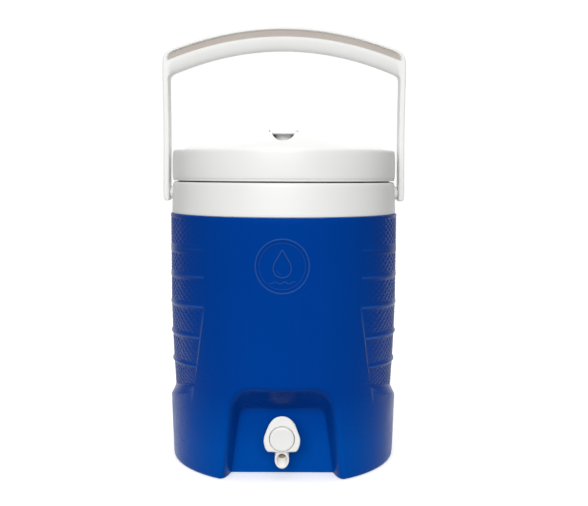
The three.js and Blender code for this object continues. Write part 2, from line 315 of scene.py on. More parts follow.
def filler(poly, step, margin, holes=(), avoid=()):
    """Staggered points inside an outline, clear of every loop by margin."""
    lo, hi = poly.min(0), poly.max(0)
    rows = []
    y, k = lo[1] + step * 0.5, 0
    while y < hi[1]:
        xs = np.arange(lo[0] + step * (0.5 if k % 2 else 0.0), hi[0], step)
        rows.append(np.c_[xs, np.full(len(xs), y)])
        y += step * 0.866
        k += 1
    if not rows:
        return np.zeros((0, 2))
    p = np.vstack(rows)
    p = p[inside(poly, p)]
    for h in holes:
        p = p[~inside(h, p)]
    for lp in [poly, *holes, *avoid]:
        if len(p):
            d, _ = gap_to(lp, p, closed=True)
            p = p[d > margin]
    return p


def slab(body, loops, extra, place, top, bottom):
    """A plate: the same triangulation at two heights, joined along loops[0]. top and bottom take points and their input numbers."""
    P, T, src = fill(loops, extra)
    used = np.unique(T)
    renum = -np.ones(len(P), int)
    renum[used] = np.arange(len(used))
    P, src, T = P[used], src[used], renum[T]
    n = len(P)
    A = place(P, top(P, src))
    B = place(P, bottom(P, src))
    n0 = len(loops[0])
    where = {int(s): k for k, s in enumerate(src)}
    faces = [tuple(t) for t in T] + [tuple(t[::-1] + n) for t in T]
    for k in range(n0):
        a, b = where.get(k), where.get((k + 1) % n0)
        if a is None or b is None:
            continue
        faces.append((a, b, b + n, a + n))
    body.add(np.vstack([A, B]), faces)


def fillet_drop(d, r):
    """How far a rounded edge of radius r has dropped at distance d from the edge."""
    d = np.clip(d, 0, r)
    return r - np.sqrt(np.maximum(r * r - (r - d) ** 2, 0))


def arc(cx, cy, r, a0, a1, n):
    a = np.radians(np.linspace(a0, a1, n))
    return [(cx + r * math.cos(t), cy + r * math.sin(t)) for t in a]


# ---------------------------------------------------------------- materials
def node(nt, kind, **inputs):
    n = nt.nodes.new(kind)
    for k, v in inputs.items():
        if k in n.inputs:
            n.inputs[k].default_value = v
        else:
            setattr(n, k, v)
    return n


def mix_colour(nt, fac, a, b, mode="MIX"):
    m = nt.nodes.new("ShaderNodeMix")
    m.data_type = "RGBA"
    m.blend_type = mode
    m.clamp_factor = True
    for socket, value in ((m.inputs[0], fac), (m.inputs[6], a), (m.inputs[7], b)):
        if isinstance(value, bpy.types.NodeSocket):
            nt.links.new(value, socket)
        else:
            socket.default_value = value
    return m.outputs[2]


def ramp(nt, value, lo, hi, a=0.0, b=1.0):
    m = nt.nodes.new("ShaderNodeMapRange")
    m.inputs["From Min"].default_value = lo
    m.inputs["From Max"].default_value = hi
    m.inputs["To Min"].default_value = a
    m.inputs["To Max"].default_value = b
    nt.links.new(value, m.inputs["Value"])
    return m.outputs["Result"]


def math_node(nt, op, a, b):
    m = nt.nodes.new("ShaderNodeMath")
    m.operation = op
    for socket, value in ((m.inputs[0], a), (m.inputs[1], b)):
        if isinstance(value, bpy.types.NodeSocket):
            nt.links.new(value, socket)
        else:
            socket.default_value = value
    return m.outputs[0]


def plastic(name, colour, dark, rough=0.42, spread=0.07, spec=0.3, grain=1500.0, bump=0.05, grain_depth=0.00008,
            mottle=0.5, wear=None, line=None, wear_from=0.56, wear_to=0.64, scuff=0.25, sss=0.0, coat=0.0, metallic=0.0, fleck=0.0, tint=(1.0, 1.0, 1.0)):
    """Moulded plastic: slow tone shifts, fine etched grain, faint scuffs and rubbed edges; when a line colour is given,
    also painted bounce light low down and painted highlights on the marked raised lines.
    """
    m = bpy.data.materials.new(name)
    m.use_nodes = True
    nt = m.node_tree
    nt.nodes.clear()
    out = nt.nodes.new("ShaderNodeOutputMaterial")
    bs = nt.nodes.new("ShaderNodeBsdfPrincipled")
    nt.links.new(bs.outputs[0], out.inputs[0])
    tc = nt.nodes.new("ShaderNodeTexCoord")
    co = tc.outputs["Object"]

    def noise(scale, detail=3.0, roughness=0.55, stretch=None, distortion=0.0):
        n = nt.nodes.new("ShaderNodeTexNoise")
        n.inputs["Scale"].default_value = scale
        n.inputs["Detail"].default_value = detail
        n.inputs["Roughness"].default_value = roughness
        n.inputs["Distortion"].default_value = distortion
        if stretch:
            mp = nt.nodes.new("ShaderNodeMapping")
            mp.inputs["Scale"].default_value = stretch
            nt.links.new(co, mp.inputs["Vector"])
            nt.links.new(mp.outputs[0], n.inputs["Vector"])
        else:
            nt.links.new(co, n.inputs["Vector"])
        return n.outputs[0]

    slow = ramp(nt, noise(9.0, 4.0), 0.32, 0.68)
    fine = noise(grain, 2.0, 0.6)
    tone = mix_colour(nt, math_node(nt, "MULTIPLY", slow, mottle), (*colour, 1), (*dark, 1))
    speck = ramp(nt, noise(grain * 0.45, 1.0), 0.60, 0.74, 0.0, 0.10 + fleck)
    tone = mix_colour(nt, speck, tone, (*[min(1, c * 1.25 + 0.01) for c in colour], 1))
    if wear is not None:
        geo = nt.nodes.new("ShaderNodeNewGeometry")
        edge = ramp(nt, geo.outputs["Pointiness"], wear_from, wear_to, 0.0, 0.55)
        rub = ramp(nt, noise(70.0, 5.0, 0.65), 0.40, 0.62)
        tone = mix_colour(nt, math_node(nt, "MULTIPLY", edge, rub), tone, (*wear, 1))
    if line is not None:
        # stands in for light bounced up from the photo's floor: a guess at the light, not a known colour of the moulding
        sp = nt.nodes.new("ShaderNodeSeparateXYZ")
        nt.links.new(co, sp.inputs[0])
        foot = ramp(nt, sp.outputs["Z"], 0.030, 0.090, 0.85, 0.0)
        tone = mix_colour(nt, foot, tone, (*[c * k for c, k in zip(colour, (1.0, 1.64, 1.36))], 1))
        # painted highlight: marked rib crests, bevels and emblem beads take a lighter blue that stands in for light
        # caught on the raised lines
        at = nt.nodes.new("ShaderNodeAttribute")
        at.attribute_name = "painted_highlight_line"
        tone = mix_colour(nt, math_node(nt, "MULTIPLY", at.outputs["Fac"], ramp(nt, noise(60.0, 4.0), 0.25, 0.6, 0.75, 1.0)), tone, (*line, 1))
    nt.links.new(tone, bs.inputs["Base Color"])
    scuffs = ramp(nt, noise(38.0, 6.0, 0.7, stretch=(1.0, 1.0, 5.0), distortion=0.6), 0.52, 0.72, 0.0, scuff)
    r = math_node(nt, "ADD", ramp(nt, noise(24.0, 4.0), 0.3, 0.7, rough - spread, rough + spread), math_node(nt, "MULTIPLY", scuffs, 0.35))
    r = math_node(nt, "ADD", r, ramp(nt, fine, 0.3, 0.7, -0.03, 0.03))
    nt.links.new(r, bs.inputs["Roughness"])
    b1 = nt.nodes.new("ShaderNodeBump")
    b1.inputs["Strength"].default_value = bump * 6
    b1.inputs["Distance"].default_value = grain_depth
    nt.links.new(fine, b1.inputs["Height"])
    b2 = nt.nodes.new("ShaderNodeBump")
    b2.inputs["Strength"].default_value = 0.35
    b2.inputs["Distance"].default_value = 0.0006
    nt.links.new(noise(16.0, 3.0, 0.5), b2.inputs["Height"])
    nt.links.new(b1.outputs[0], b2.inputs["Normal"])
    nt.links.new(b2.outputs[0], bs.inputs["Normal"])
    bs.inputs["Specular IOR Level"].default_value = spec
    bs.inputs["Specular Tint"].default_value = (*tint, 1)
    bs.inputs["Metallic"].default_value = metallic
    if coat:
        bs.inputs["Coat Weight"].default_value = coat
        bs.inputs["Coat Roughness"].default_value = 0.25
    if sss:
        bs.inputs["Subsurface Weight"].default_value = sss
        bs.inputs["Subsurface Radius"].default_value = (0.004, 0.004, 0.003)
        bs.inputs["Subsurface Scale"].default_value = 0.6
    return m


# the blue's line colour is a painted highlight for raised lines, and it also turns on the painted bounce light near the
# foot
BLUE = plastic("blue_moulded_shell", (0.0003, 0.0470, 0.306), (0.0002, 0.0425, 0.284), rough=0.29, spec=0.07, grain=1300.0,
               bump=0.06, wear=(0.02, 0.10, 0.40), line=(0.055, 0.135, 0.40), scuff=0.3, tint=(0.02, 0.28, 1.0))
WHITE = plastic("white_moulded_shell", (0.90, 0.90, 0.885), (0.87, 0.87, 0.85), rough=0.38, spec=0.55, grain=1500.0,
                wear=(0.92, 0.92, 0.91))
HANDLE = plastic("white_handle_plastic", (0.89, 0.89, 0.875), (0.85, 0.85, 0.83), rough=0.40, spec=0.45, grain=1300.0,
                 wear=(0.92, 0.92, 0.91), scuff=0.4)
# painted shade: a darker warm tint for the handle's recessed web, standing in for the shade under its flange
RECESS_SHADE = plastic("handle_recess_painted_shade", (0.53, 0.475, 0.435), (0.49, 0.44, 0.40), rough=0.55, spec=0.2, grain=1300.0, scuff=0.3)
LINER = plastic("natural_liner_plastic", (0.77, 0.77, 0.73), (0.72, 0.72, 0.68), rough=0.30, spec=0.4, grain=900.0, wear=(0.83, 0.83, 0.80))
TAP = plastic("white_spigot_plastic", (0.91, 0.91, 0.885), (0.88, 0.88, 0.855), rough=0.27, spec=0.45, grain=2200.0, wear=(0.88, 0.88, 0.87))
# painted shade for the deep inside of the spout
BORE_SHADE = plastic("spout_bore_painted_shade", (0.42, 0.355, 0.255), (0.38, 0.32, 0.23), rough=0.5, spec=0.2, grain=1800.0)
BUTTON = plastic("button_plastic", (0.88, 0.88, 0.865), (0.85, 0.85, 0.83), rough=0.33, spec=0.4, grain=2200.0, wear=(0.86, 0.86, 0.85))
FOAM = plastic("poured_foam", (0.72, 0.60, 0.36), (0.60, 0.48, 0.26), rough=0.85, spec=0.1, grain=420.0, bump=0.5, grain_depth=0.0006, mottle=0.9, fleck=0.3)
RUBBER = plastic("black_rubber", (0.022, 0.022, 0.024), (0.034, 0.033, 0.033), rough=0.72, spec=0.3, grain=1800.0, bump=0.12)
SILICONE = plastic("grey_silicone", (0.52, 0.50, 0.45), (0.46, 0.44, 0.40), rough=0.6, spec=0.3, grain=1500.0)
STEEL = plastic("spring_steel", (0.55, 0.56, 0.58), (0.42, 0.43, 0.45), rough=0.30, spec=0.5, grain=3000.0, metallic=1.0)

# ---------------------------------------------------------------- outer shell
SH_LO, SH_HI = mm("outer_shell")
SHELL_TOP = SH_HI[2]
OUT_Z = np.array([0, 0.08, 0.3, 0.7, 1.3, 2.4, 4.5, 8, 14, 25, 47, 64, 80, 94, 150, 210, 266.0])
OUT_R = np.array([119.9, 120.6, 121.1, 121.4, 121.7, 121.9, 122.1, 122.3, 122.5, 122.9, 123.6, 124.2, 124.1, 123.9, 123.7, 123.6, 123.5])


def front_r(z):
    z = np.asarray(z, float)
    r = np.interp(z, OUT_Z, OUT_R)
    wide = sum(np.interp(z + d, OUT_Z, OUT_R) for d in (-6, -3, 0, 3, 6)) / 5
    w = sstep(12, 24, z) * (1 - sstep(250, 258, z))
    return r * (1 - w) + wide * w - 0.55 * sstep(SHELL_TOP - 0.9, SHELL_TOP, z) ** 2


EDGE_Z, EDGE_A = [60, 75, 91, 180], [49.0, 48.3, 46.8, 38.4]
PAN_Z, PAN_R = [60, 75.3, 94, 108, 137, 170.5, 202, 215, 266], [118.9, 119.4, 120.3, 121.2, 122.4, 123.45, 123.56, 123.55, 123.47]
TILT_Z, TILT = [0, 38, 63.8, 73.4, 107, 235, 262, 266], [0, 0, 0.46, 0.43, 0.085, 0.085, 0, 0]
LIFT_Z, LIFT = [0, 44, 63.8, 73.4, 80], [0, 0, 7.8, 0, 0]
RIBS = [(107.0, 0.95, 1.1, 1.35), (138.0, 0.95, 1.1, 1.25), (170.1, 0.95, 1.1, 1.0), (200.5, 0.95, 1.1, 0.7), (228.4, 2.1, 0.9, 0.35)]


def edge_at(z):
    return np.interp(z, EDGE_Z, EDGE_A)


DEG_MM = 121.0 * math.pi / 180
PANEL_W = (180 - 2 * 38.4) * DEG_MM


def shell_grid():
    """Right-hand panel block: rows from the base to the rim, columns from just outside the front edge to the back edge."""
    lat0 = 4.3
    n = int(round((PANEL_W - 2 * lat0) / (11.0 / 6) / 6)) * 6
    lattice = np.linspace(lat0, PANEL_W - lat0, n + 1)
    side = [-1.6, 0.0, 0.5, 1.3, 2.1, 2.8, 3.3]
    cols = np.r_[side, lattice, [PANEL_W - s for s in side[::-1]]]
    ci = np.r_[np.full(len(side), -1), np.arange(n + 1), np.full(len(side), -1)]
    low = [0, 0.08, 0.3, 0.7, 1.3, 2.4, 4.5, 8, 11, 14, 19, 25, 31, 37, 43, 49, 55, 60, 62.4, 63.4, 64.2, 66, 68.6, 71.2, 72.8, 73.6]
    rows, ri, rib = list(low), [-1] * len(low), [0.0] * len(low)
    start = 74.6
    for z0, h, s, tall in [*RIBS, (266.0, 0, 0, 0)]:
        end = z0 - h - s - 0.9 if h else 263.2
        k = max(6, int(round((end - start) / (6.9 / 6))))
        for j, z in enumerate(np.linspace(start, end, k + 1)):
            rows.append(z), ri.append(j), rib.append(0.0)
        if h:
            for dz, part in ((-h - s, 0), (-h - s * 0.35, 0.8), (-h * 0.8, 1), (-0.1, 1), (h * 0.7, 0.78), (h + s * 0.25, 0.4), (h + s, 0)):
                rows.append(z0 + dz), ri.append(-1), rib.append(part * tall)
            start = z0 + h + s + 0.9
    for z in (264.1, 265.1, 265.55, 265.85, 266.0):
        rows.append(z), ri.append(-1), rib.append(0.0)
    rows, ri, rib = np.array(rows), np.array(ri), np.array(rib)
    rows = rows * 1.0
    Z0, C0 = np.meshgrid(rows, cols, indexing="ij")
    phi0 = 38.4 + C0 / DEG_MM                      # base azimuth, 38.4 ... 141.6
    z = Z0.copy()
    for _ in range(6):
        e = edge_at(z)
        phi = 90 + (phi0 - 90) * (90 - e) / (90 - 38.4)
        fold = np.minimum(phi, 180 - phi)
        z = Z0 + np.interp(Z0, TILT_Z, TILT) * (90 - fold) + np.interp(Z0, LIFT_Z, LIFT) * np.exp(-np.maximum(fold - e, 0) / 3.2)
    e = edge_at(z)
    phi = 90 + (phi0 - 90) * (90 - e) / (90 - 38.4)
    fold = np.minimum(phi, 180 - phi)
    rf = front_r(z)
    rp = np.minimum(np.interp(z, PAN_Z, PAN_R), rf)
    m1 = np.clip((fold - e) * rf * math.pi / 180 / 3.3, 0, 1)
    m2 = np.clip((Z0 - 63.6) / (73.4 - 63.6), 0, 1)
    m = np.minimum(0.7 * m1 + 0.3 * m1 * m1 * (3 - 2 * m1), m2)
    # the panel's own bevel stays a little deep at the top, where the recess has run out
    r = rf - (rf - rp) * m
    inner = sstep(0.92, 1.0, m1) * (Z0 > 73)
    r = r + rib[:, None] * inner * np.minimum(1.0, 0.35 + (rf - rp) / 1.2)
    # knurl: rhombic pads on the lattice
    I, J = np.meshgrid(ri, ci, indexing="ij")
    ok = (I >= 0) & (J >= 0)
    u, v = (J + I) / 6.0, (J - I) / 6.0
    du, dv = np.abs(u - np.round(u)) * 2, np.abs(v - np.round(v)) * 2
    pad = np.minimum(du, dv) ** 0.85
    rowmax = np.array([ri[k] for k in range(len(ri))])
    edge_row = np.zeros(len(ri), bool)
    for k in range(len(ri)):
        if ri[k] >= 0 and (k == 0 or k == len(ri) - 1 or ri[k - 1] < 0 or ri[k + 1] < 0 or ri[k + 1] < ri[k]):
            edge_row[k] = True
    edge_col = (ci == 0) | (ci == ci.max())
    fade = np.where(edge_row[:, None] | edge_col[None, :], 0.0, 1.0)
    r = r - np.where(ok, lerp(0.28, 0.85, sstep(44, 66, fold)) * (1 - pad) * fade, 0.0)
    flip = np.zeros((len(rows) - 1, len(cols) - 1), bool)
    ii, jj = np.meshgrid(ri[:-1], ci[:-1], indexing="ij")
    flip[:, :] = ((jj - ii) % 6 == 0)
    t = np.radians(phi)
    P = np.stack([r * np.sin(t), -r * np.cos(t), z], -1)
    return P, flip


def alcove_half(z, y):
    """Half width of the spigot alcove at a height and depth."""
    f = np.clip((z + 1) / 101.0, 0, 1.2)
    back, front = lerp(52.9, 38.9, f), lerp(63.8, 53.3, f)
    return lerp(back, front, (-82.0 - y) / 49.0)


ALC_Y = -82.0
ALC_TOP, ALC_LOW, ALC_RAD, ALC_RAD_IN, ALC_FILLET = 96.9, 66.6, 24.0, 9.0, 2.0


def alcove_curve(q, y, t):
    """A point of the alcove's section at depth share q (0 at the mouth, 1 at the back wall), for t = (part, share)."""
    part, s = t
    top = lerp(ALC_TOP, ALC_LOW, q)
    rad = lerp(ALC_RAD, ALC_RAD_IN, q)
    zc = top - rad
    if part == 0:
        z = s
        z = z * zc / (ALC_TOP - ALC_RAD) if s > 8 else z + 0.0
        return alcove_half(z, y), z
    if part == 1:
        a = np.array([alcove_half(zc, y), zc])
        c = np.array([alcove_half(top, y), top])
        b = np.array([alcove_half(top, y) - rad, top])
        p = (1 - s) ** 2 * a + 2 * s * (1 - s) * c + s * s * b
        return p[0], p[1]
    b = alcove_half(top, y) - rad
    return b * (1 - s), top


def build_shell():
    body = Body()
    P, flip = shell_grid()
    body.grid(P, flip=flip)
    L = P.copy()
    L[..., 0] *= -1
    body.grid(L, flip=flip)
    col_front, col_back = P[:, 0], P[:, -1]
    R0 = 123.3
    to_uv = lambda p: np.c_[np.arctan2(p[:, 0], -p[:, 1]) * R0, p[:, 2]]

    def to_xyz(uv):
        r = front_r(uv[:, 1])
        t = uv[:, 0] / R0
        return np.c_[r * np.sin(t), -r * np.cos(t), uv[:, 1]]

    # alcove: sections run from the left foot round the top to the right foot
    side = [0, 0.08, 0.3, 0.7, 1.3, 2.4, 4.5, 7.9, 12, 17, 22, 28, 34, 40, 46, 52, 58, 64, 69.5]
    T = [(0, z) for z in side] + [(1, s) for s in np.linspace(0, 1, 15)] + [(2, s) for s in np.linspace(0, 1, 9)[1:]]
    E, W = [], []
    qs = np.linspace(0, 1, 15)
    for t in T:
        y = -110.0
        for _ in range(30):
            x, z = alcove_curve(0.0, y, t)
            y = -math.sqrt(float(front_r(z)) ** 2 - x * x)
        E.append((x, y, z))
        line = []
        for q in qs:
            yy = lerp(y, ALC_Y, q)
            x1, z1 = alcove_curve(q, yy, t)
            line.append((x1, yy, z1))
        W.append(line)
    E, W = np.array(E), np.array(W)
    euv = to_uv(E)
    tang = np.gradient(euv, axis=0)
    nrm = np.c_[tang[:, 1], -tang[:, 0]]
    nrm /= np.hypot(nrm[:, 0], nrm[:, 1])[:, None]
    if nrm[0, 0] < 0:
        nrm = -nrm
    k = sstep(2, 20, euv[:, 1])
    nrm[:, 1] *= k
    nrm[-1] = (0, 1)
    nrm /= np.hypot(nrm[:, 0], nrm[:, 1])[:, None]
    up = np.clip(nrm[:, 1], 0, 1)
    d_out = lerp(8.0, 3.6, up)
    reach = np.array([np.linalg.norm(W[i, -1] - W[i, 0]) for i in range(len(T))])
    d_in = np.minimum(lerp(21.0, 4.2, up), 0.84 * reach)
    fil = lerp(ALC_FILLET, 6.0, up)
    steps = np.linspace(0, 1, 9)
    rings = []
    for i in range(len(T)):
        length = np.linalg.norm(W[i, -1] - W[i, 0])
        cum = np.r_[0, np.cumsum(np.linalg.norm(W[i, 1:] - W[i, :-1], axis=1))]

        def at(s):
            return np.array([np.interp(s, cum, W[i, :, c]) for c in range(3)])

        o = to_xyz((euv[i] + nrm[i] * d_out[i])[None])[0]
        o1 = to_xyz((euv[i] + nrm[i] * d_out[i] * 0.5)[None])[0]
        inn = at(d_in[i])
        line = []
        for s in steps:
            # along the surface, round the edge, and onto the wall
            p = (1 - s) ** 2 * o + 2 * s * (1 - s) * E[i] + s * s * inn
            line.append(p)
        line[0] = o
        f0, f1 = d_in[i], cum[-1] - fil[i]
        for s in np.linspace(f0, f1, 9)[1:]:
            line.append(at(s))
        wall_end = at(f1)
        corner = W[i, -1]
        # inner corner round onto the flat back wall
        cen = np.array([0.0, ALC_Y, 36.0])
        if T[i][0] == 0:
            inward = np.array([-1.0, 0, 0.0])
        elif T[i][0] == 1:
            a = T[i][1] * math.pi / 2
            inward = np.array([-math.cos(a), 0, -math.sin(a)])
        else:
            inward = np.array([0, 0, -1.0])
        onback = corner + inward * fil[i]
        for s in np.linspace(0, 1, 8)[1:]:
            line.append((1 - s) ** 2 * wall_end + 2 * s * (1 - s) * corner + s * s * onback)
        line = np.array(line)
        if i == 0:
            line[:, 2] = 0.0
        rings.append(line)
    rings = np.array(rings)
    rings[-1, :, 0] = 0.0
    mirror = rings[::-1][1:].copy()
    mirror[..., 0] *= -1
    loft = np.vstack([rings, mirror])          # right foot, round the top, left foot
    body.grid(loft)

    # front sector between the two panel blocks, with the alcove's mouth left out
    left, right = col_front.copy(), col_front.copy()
    left[:, 0] *= -1
    ruv, luv = to_uv(right), to_uv(left)
    mouth = to_uv(loft[:, 0])
    span = ruv[-1, 0]
    tops = np.array([[u, SHELL_TOP] for u in np.linspace(span, -span, 41)[1:-1]])
    b0, b1 = ruv[0, 0], mouth[0, 0]
    bot_r = np.array([[u, 0.0] for u in np.linspace(b0, b1, 9)[1:-1]])
    bot_l = -bot_r[::-1].copy()
    bot_l[:, 1] = 0.0
    # counter-clockwise: right column up, top to the left, left column down, bottom, mouth, bottom
    poly = np.vstack([ruv, tops, luv[::-1], bot_l, mouth[::-1], bot_r[::-1]])
    extra = []
    for z in (0.08, 0.3, 0.7, 1.3, 2.4, 4.5, 8.0, 11.5):
        us = np.linspace(b0, b1, 9)[1:-1]
        extra += [(u, z) for u in us] + [(-u, z) for u in us]
    for z in (SHELL_TOP - 0.15, SHELL_TOP - 0.45, SHELL_TOP - 0.9):
        extra += [(u, z) for u in np.linspace(span, -span, 41)[1:-1]]
    extra = np.array(extra)
    fl = filler(poly, 5.2, 2.6)
    fl = fl[(fl[:, 1] > 14) & (fl[:, 1] < SHELL_TOP - 3)]
    near = np.array([[m[0] + n[0] * d, m[1] + n[1] * d] for d in (2.5, 5.5) for m, n in zip(euv + nrm * d_out[:, None], nrm)])
    near = near[near[:, 1] > 13]
    near = np.vstack([near, near * [-1, 1]])
    nd, _ = gap_to(mouth, fl)
    fl = fl[nd > 7.5]
    pts = np.vstack([poly, extra, near, fl])
    V, F, src = cdt(pts, ring_edges(0, len(poly)))
    keep = inside(poly, V[F].mean(1))
    F = tidy(V, F[keep])
    X = to_xyz(V)
    fixed = np.vstack([right, to_xyz(tops), left[::-1], to_xyz(bot_l), loft[:, 0][::-1], to_xyz(bot_r[::-1])])
    for k, s in enumerate(src):
        if 0 <= s < len(fixed):
            X[k] = fixed[s]
    body.add(X, F)

    # back sector
    bl, br = col_back.copy(), col_back.copy()
    bl[:, 0] *= -1
    def back_uv(p):
        return np.c_[np.arctan2(p[:, 0], p[:, 1]) * R0, p[:, 2]]
    def back_xyz(uv):
        r = front_r(uv[:, 1])
        t = uv[:, 0] / R0
        return np.c_[r * np.sin(t), r * np.cos(t), uv[:, 1]]
    ru, lu = back_uv(br), back_uv(bl)
    sp, sb = ru[-1, 0], ru[0, 0]
    tp = np.array([[u, SHELL_TOP] for u in np.linspace(sp, -sp, 41)[1:-1]])
    bt = np.array([[u, 0.0] for u in np.linspace(-sb, sb, 41)[1:-1]])
    poly = np.vstack([ru, tp, lu[::-1], bt])
    extra = []
    for z in (0.08, 0.3, 0.7, 1.3, 2.4, 4.5, 8.0, 11.5, SHELL_TOP - 0.15, SHELL_TOP - 0.45, SHELL_TOP - 0.9):
        s_ = sb if z < 100 else sp
        extra += [(u, z) for u in np.linspace(s_, -s_, 41)[1:-1]]
    fl = filler(poly, 6.0, 2.8)
    fl = fl[(fl[:, 1] > 14) & (fl[:, 1] < SHELL_TOP - 3)]
    V, F, src = cdt(np.vstack([poly, extra, fl]), ring_edges(0, len(poly)))
    F = tidy(V, F[inside(poly, V[F].mean(1))])
    X = back_xyz(V)
    fixed = np.vstack([br, back_xyz(tp), bl[::-1], back_xyz(bt)])
    for k, s in enumerate(src):
        if 0 <= s < len(fixed):
            X[k] = fixed[s]
    body.add(X, F)

    # back wall of the alcove
    inner = loft[:, -1]
    wall = inner[:, [0, 2]]
    base = np.array([[x, 0.0] for x in np.linspace(wall[-1, 0], wall[0, 0], 15)[1:-1]])
    wp = np.vstack([wall, base])
    V, F, src = fill([wp], filler(wp, 6.0, 3.0))
    body.add(np.c_[V[:, 0], np.full(len(V), ALC_Y), V[:, 1]], F)

    # rim and inside of the mouth of the shell
    def full(row):
        pr, pl = P[row], L[row]
        u = np.linspace(span, -span, 41)[1:-1]
        fr = to_xyz(np.c_[u, np.full(len(u), P[row, 0, 2])])
        ub = np.linspace(sp, -sp, 41)[1:-1]
        bk = back_xyz(np.c_[ub, np.full(len(ub), P[row, 0, 2])])
        return np.vstack([pr, bk, pl[::-1], fr[::-1]])
    rim = full(-1)
    az = np.arctan2(rim[:, 0], -rim[:, 1])
    circ = lambda r, z: np.c_[r * np.sin(az), -r * np.cos(az), np.full(len(az), z)]
    rings = [rim, circ(122.1, SHELL_TOP + 0.05), circ(121.2, SHELL_TOP), circ(120.9, SHELL_TOP - 0.4), circ(119.8, 205), circ(118.5, 150), circ(60, 150)]
    body.grid(np.array(rings), close_v=True)
    m = len(az)
    body.add(np.vstack([circ(60, 150), [[0, 0, 150]]]), [(k, (k + 1) % m, m) for k in range(m)])

    # base: the standing ring, the shallow recess and its floor
    start = col_front[0]
    loop_r = [p for p in P[0]]                                   # right side, front to back
    bkb = back_xyz(np.c_[np.linspace(sb, -sb, 41)[1:-1], np.zeros(39)])
    fr_r = to_xyz(bot_r)                                         # from the panel column to the alcove
    outer = np.vstack([fr_r[::-1], P[0], bkb, L[0][::-1], fr_r * [-1, 1, 1], loft[-1], np.c_[base[:, 0], np.full(len(base), ALC_Y), base[:, 1]], loft[0][::-1]])
    o2 = outer[:, :2]
    keep = np.r_[True, np.hypot(*(o2[1:] - o2[:-1]).T) > 1e-5]
    o2 = o2[keep]
    def recess(r, ymin):
        a = np.radians(np.linspace(0, 360, 145)[:-1])
        p = np.c_[r * np.sin(a), -r * np.cos(a)]
        p[:, 1] = np.maximum(p[:, 1], ymin)
        keep = np.r_[True, np.hypot(*(p[1:] - p[:-1]).T) > 0.02]
        return resample(rounded(resample(p[keep], 3.0, True), 1), 3.0, True)
    lips = [(100.0, -70.0, 0.0), (99.5, -69.5, 0.6), (98.2, -68.4, 4.2), (97.2, -67.6, 5.0)]
    r0 = recess(100.0, -70.0)
    ring_pts = [r0] + [inset(r0, d) for d in (0.6, 1.8, 3.0)]
    V, F, src = fill([o2, r0], filler(o2, 9.0, 3.5, holes=[r0]), holes=[1])
    body.add(np.c_[V, np.zeros(len(V))], F)
    zs = [0.0, 0.5, 4.3, 5.0]
    body.grid(np.array([np.c_[p, np.full(len(p), z)] for p, z in zip(ring_pts, zs)]), close_v=True)
    # floor of the recess with two stiffening rings
    rr = ring_pts[-1]
    circles = [np.array(arc(0, 0, r, 0, 360, 97))[:-1] for r in (62, 60.6, 58.4, 57, 22, 20.8, 18.8, 17.6)]
    hz = [5.0, 3.6, 3.6, 5.0, 5.0, 3.8, 3.8, 5.0]
    V, F, src = fill([rr, *circles], filler(rr, 8.0, 3.0, avoid=circles))
    z = np.full(len(V), 5.0)
    n = len(rr)
    for k, s in enumerate(src):
        for c in range(8):
            if n + 96 * c <= s < n + 96 * (c + 1):
                z[k] = hz[c]
    body.add(np.c_[V, z], F)
    o = body.make("outer_shell_skin", "cooler", BLUE, sharp=34, replaces=("outer_shell",))
    v = np.empty(len(o.data.vertices) * 3)
    o.data.vertices.foreach_get("co", v)
    v = v.reshape(-1, 3) / MM
    az = np.degrees(np.arctan2(np.abs(v[:, 0]), -v[:, 1]))
    fold = np.minimum(az, 180 - az)
    e = edge_at(v[:, 2])
    flat = v[:, 2] - np.interp(v[:, 2], TILT_Z, TILT) * (90 - fold)
    off = (fold - e) * DEG_MM
    outside = np.hypot(v[:, 0], v[:, 1]) > 115
    # painted highlight mask: rib crests and the panel's front bevel are marked to take the lighter blue that stands in
    # for light they catch
    light = np.zeros(len(v))
    for z0, h, s_, tall in RIBS:
        light = np.maximum(light, (np.abs(flat - z0) < min(h, 0.95) * 0.98) * (off > 3.0) * (0.12 + 0.42 * max(0.0, tall - 0.4)))
    light = np.maximum(light, (off > 0.4) * (off < 2.9) * sstep(180, 150, v[:, 2]) * (v[:, 2] > 76) * 0.6)
    at = o.data.attributes.new("painted_highlight_line", "FLOAT", "POINT")
    at.data.foreach_set("value", light * outside)
    return o


build_shell()


# ---------------------------------------------------------------- embossed emblem: a plain ring with a water drop
def bead(body, line, width, tall, closed=True, radius=123.66, cz=219.0):
    """A low rounded moulded line on the shell, following (across, up) points."""
    p = np.asarray(line, float)
    t = (np.roll(p, -1, 0) - np.roll(p, 1, 0)) if closed else np.gradient(p, axis=0)
    t /= np.hypot(t[:, 0], t[:, 1])[:, None]
    n = np.c_[-t[:, 1], t[:, 0]]
    sec = [(-0.5, -0.5), (-0.5, 0.12), (-0.34, 0.66), (-0.14, 0.96), (0.14, 0.96), (0.34, 0.66), (0.5, 0.12), (0.5, -0.5)]
    rows = []
    for a, h in sec:
        q = p + n * a * width
        r = radius + h * tall
        rows.append(np.c_[r * np.sin(q[:, 0] / radius), -r * np.cos(q[:, 0] / radius), q[:, 1] + cz])
    rows = np.array(rows)
    if closed:
        body.grid(rows, close_u=True, close_v=True)
    else:
        body.grid(rows, close_u=True)
        m = len(sec)
        for k in (0, -1):
            body.add(rows[:, k], [tuple(range(m))])


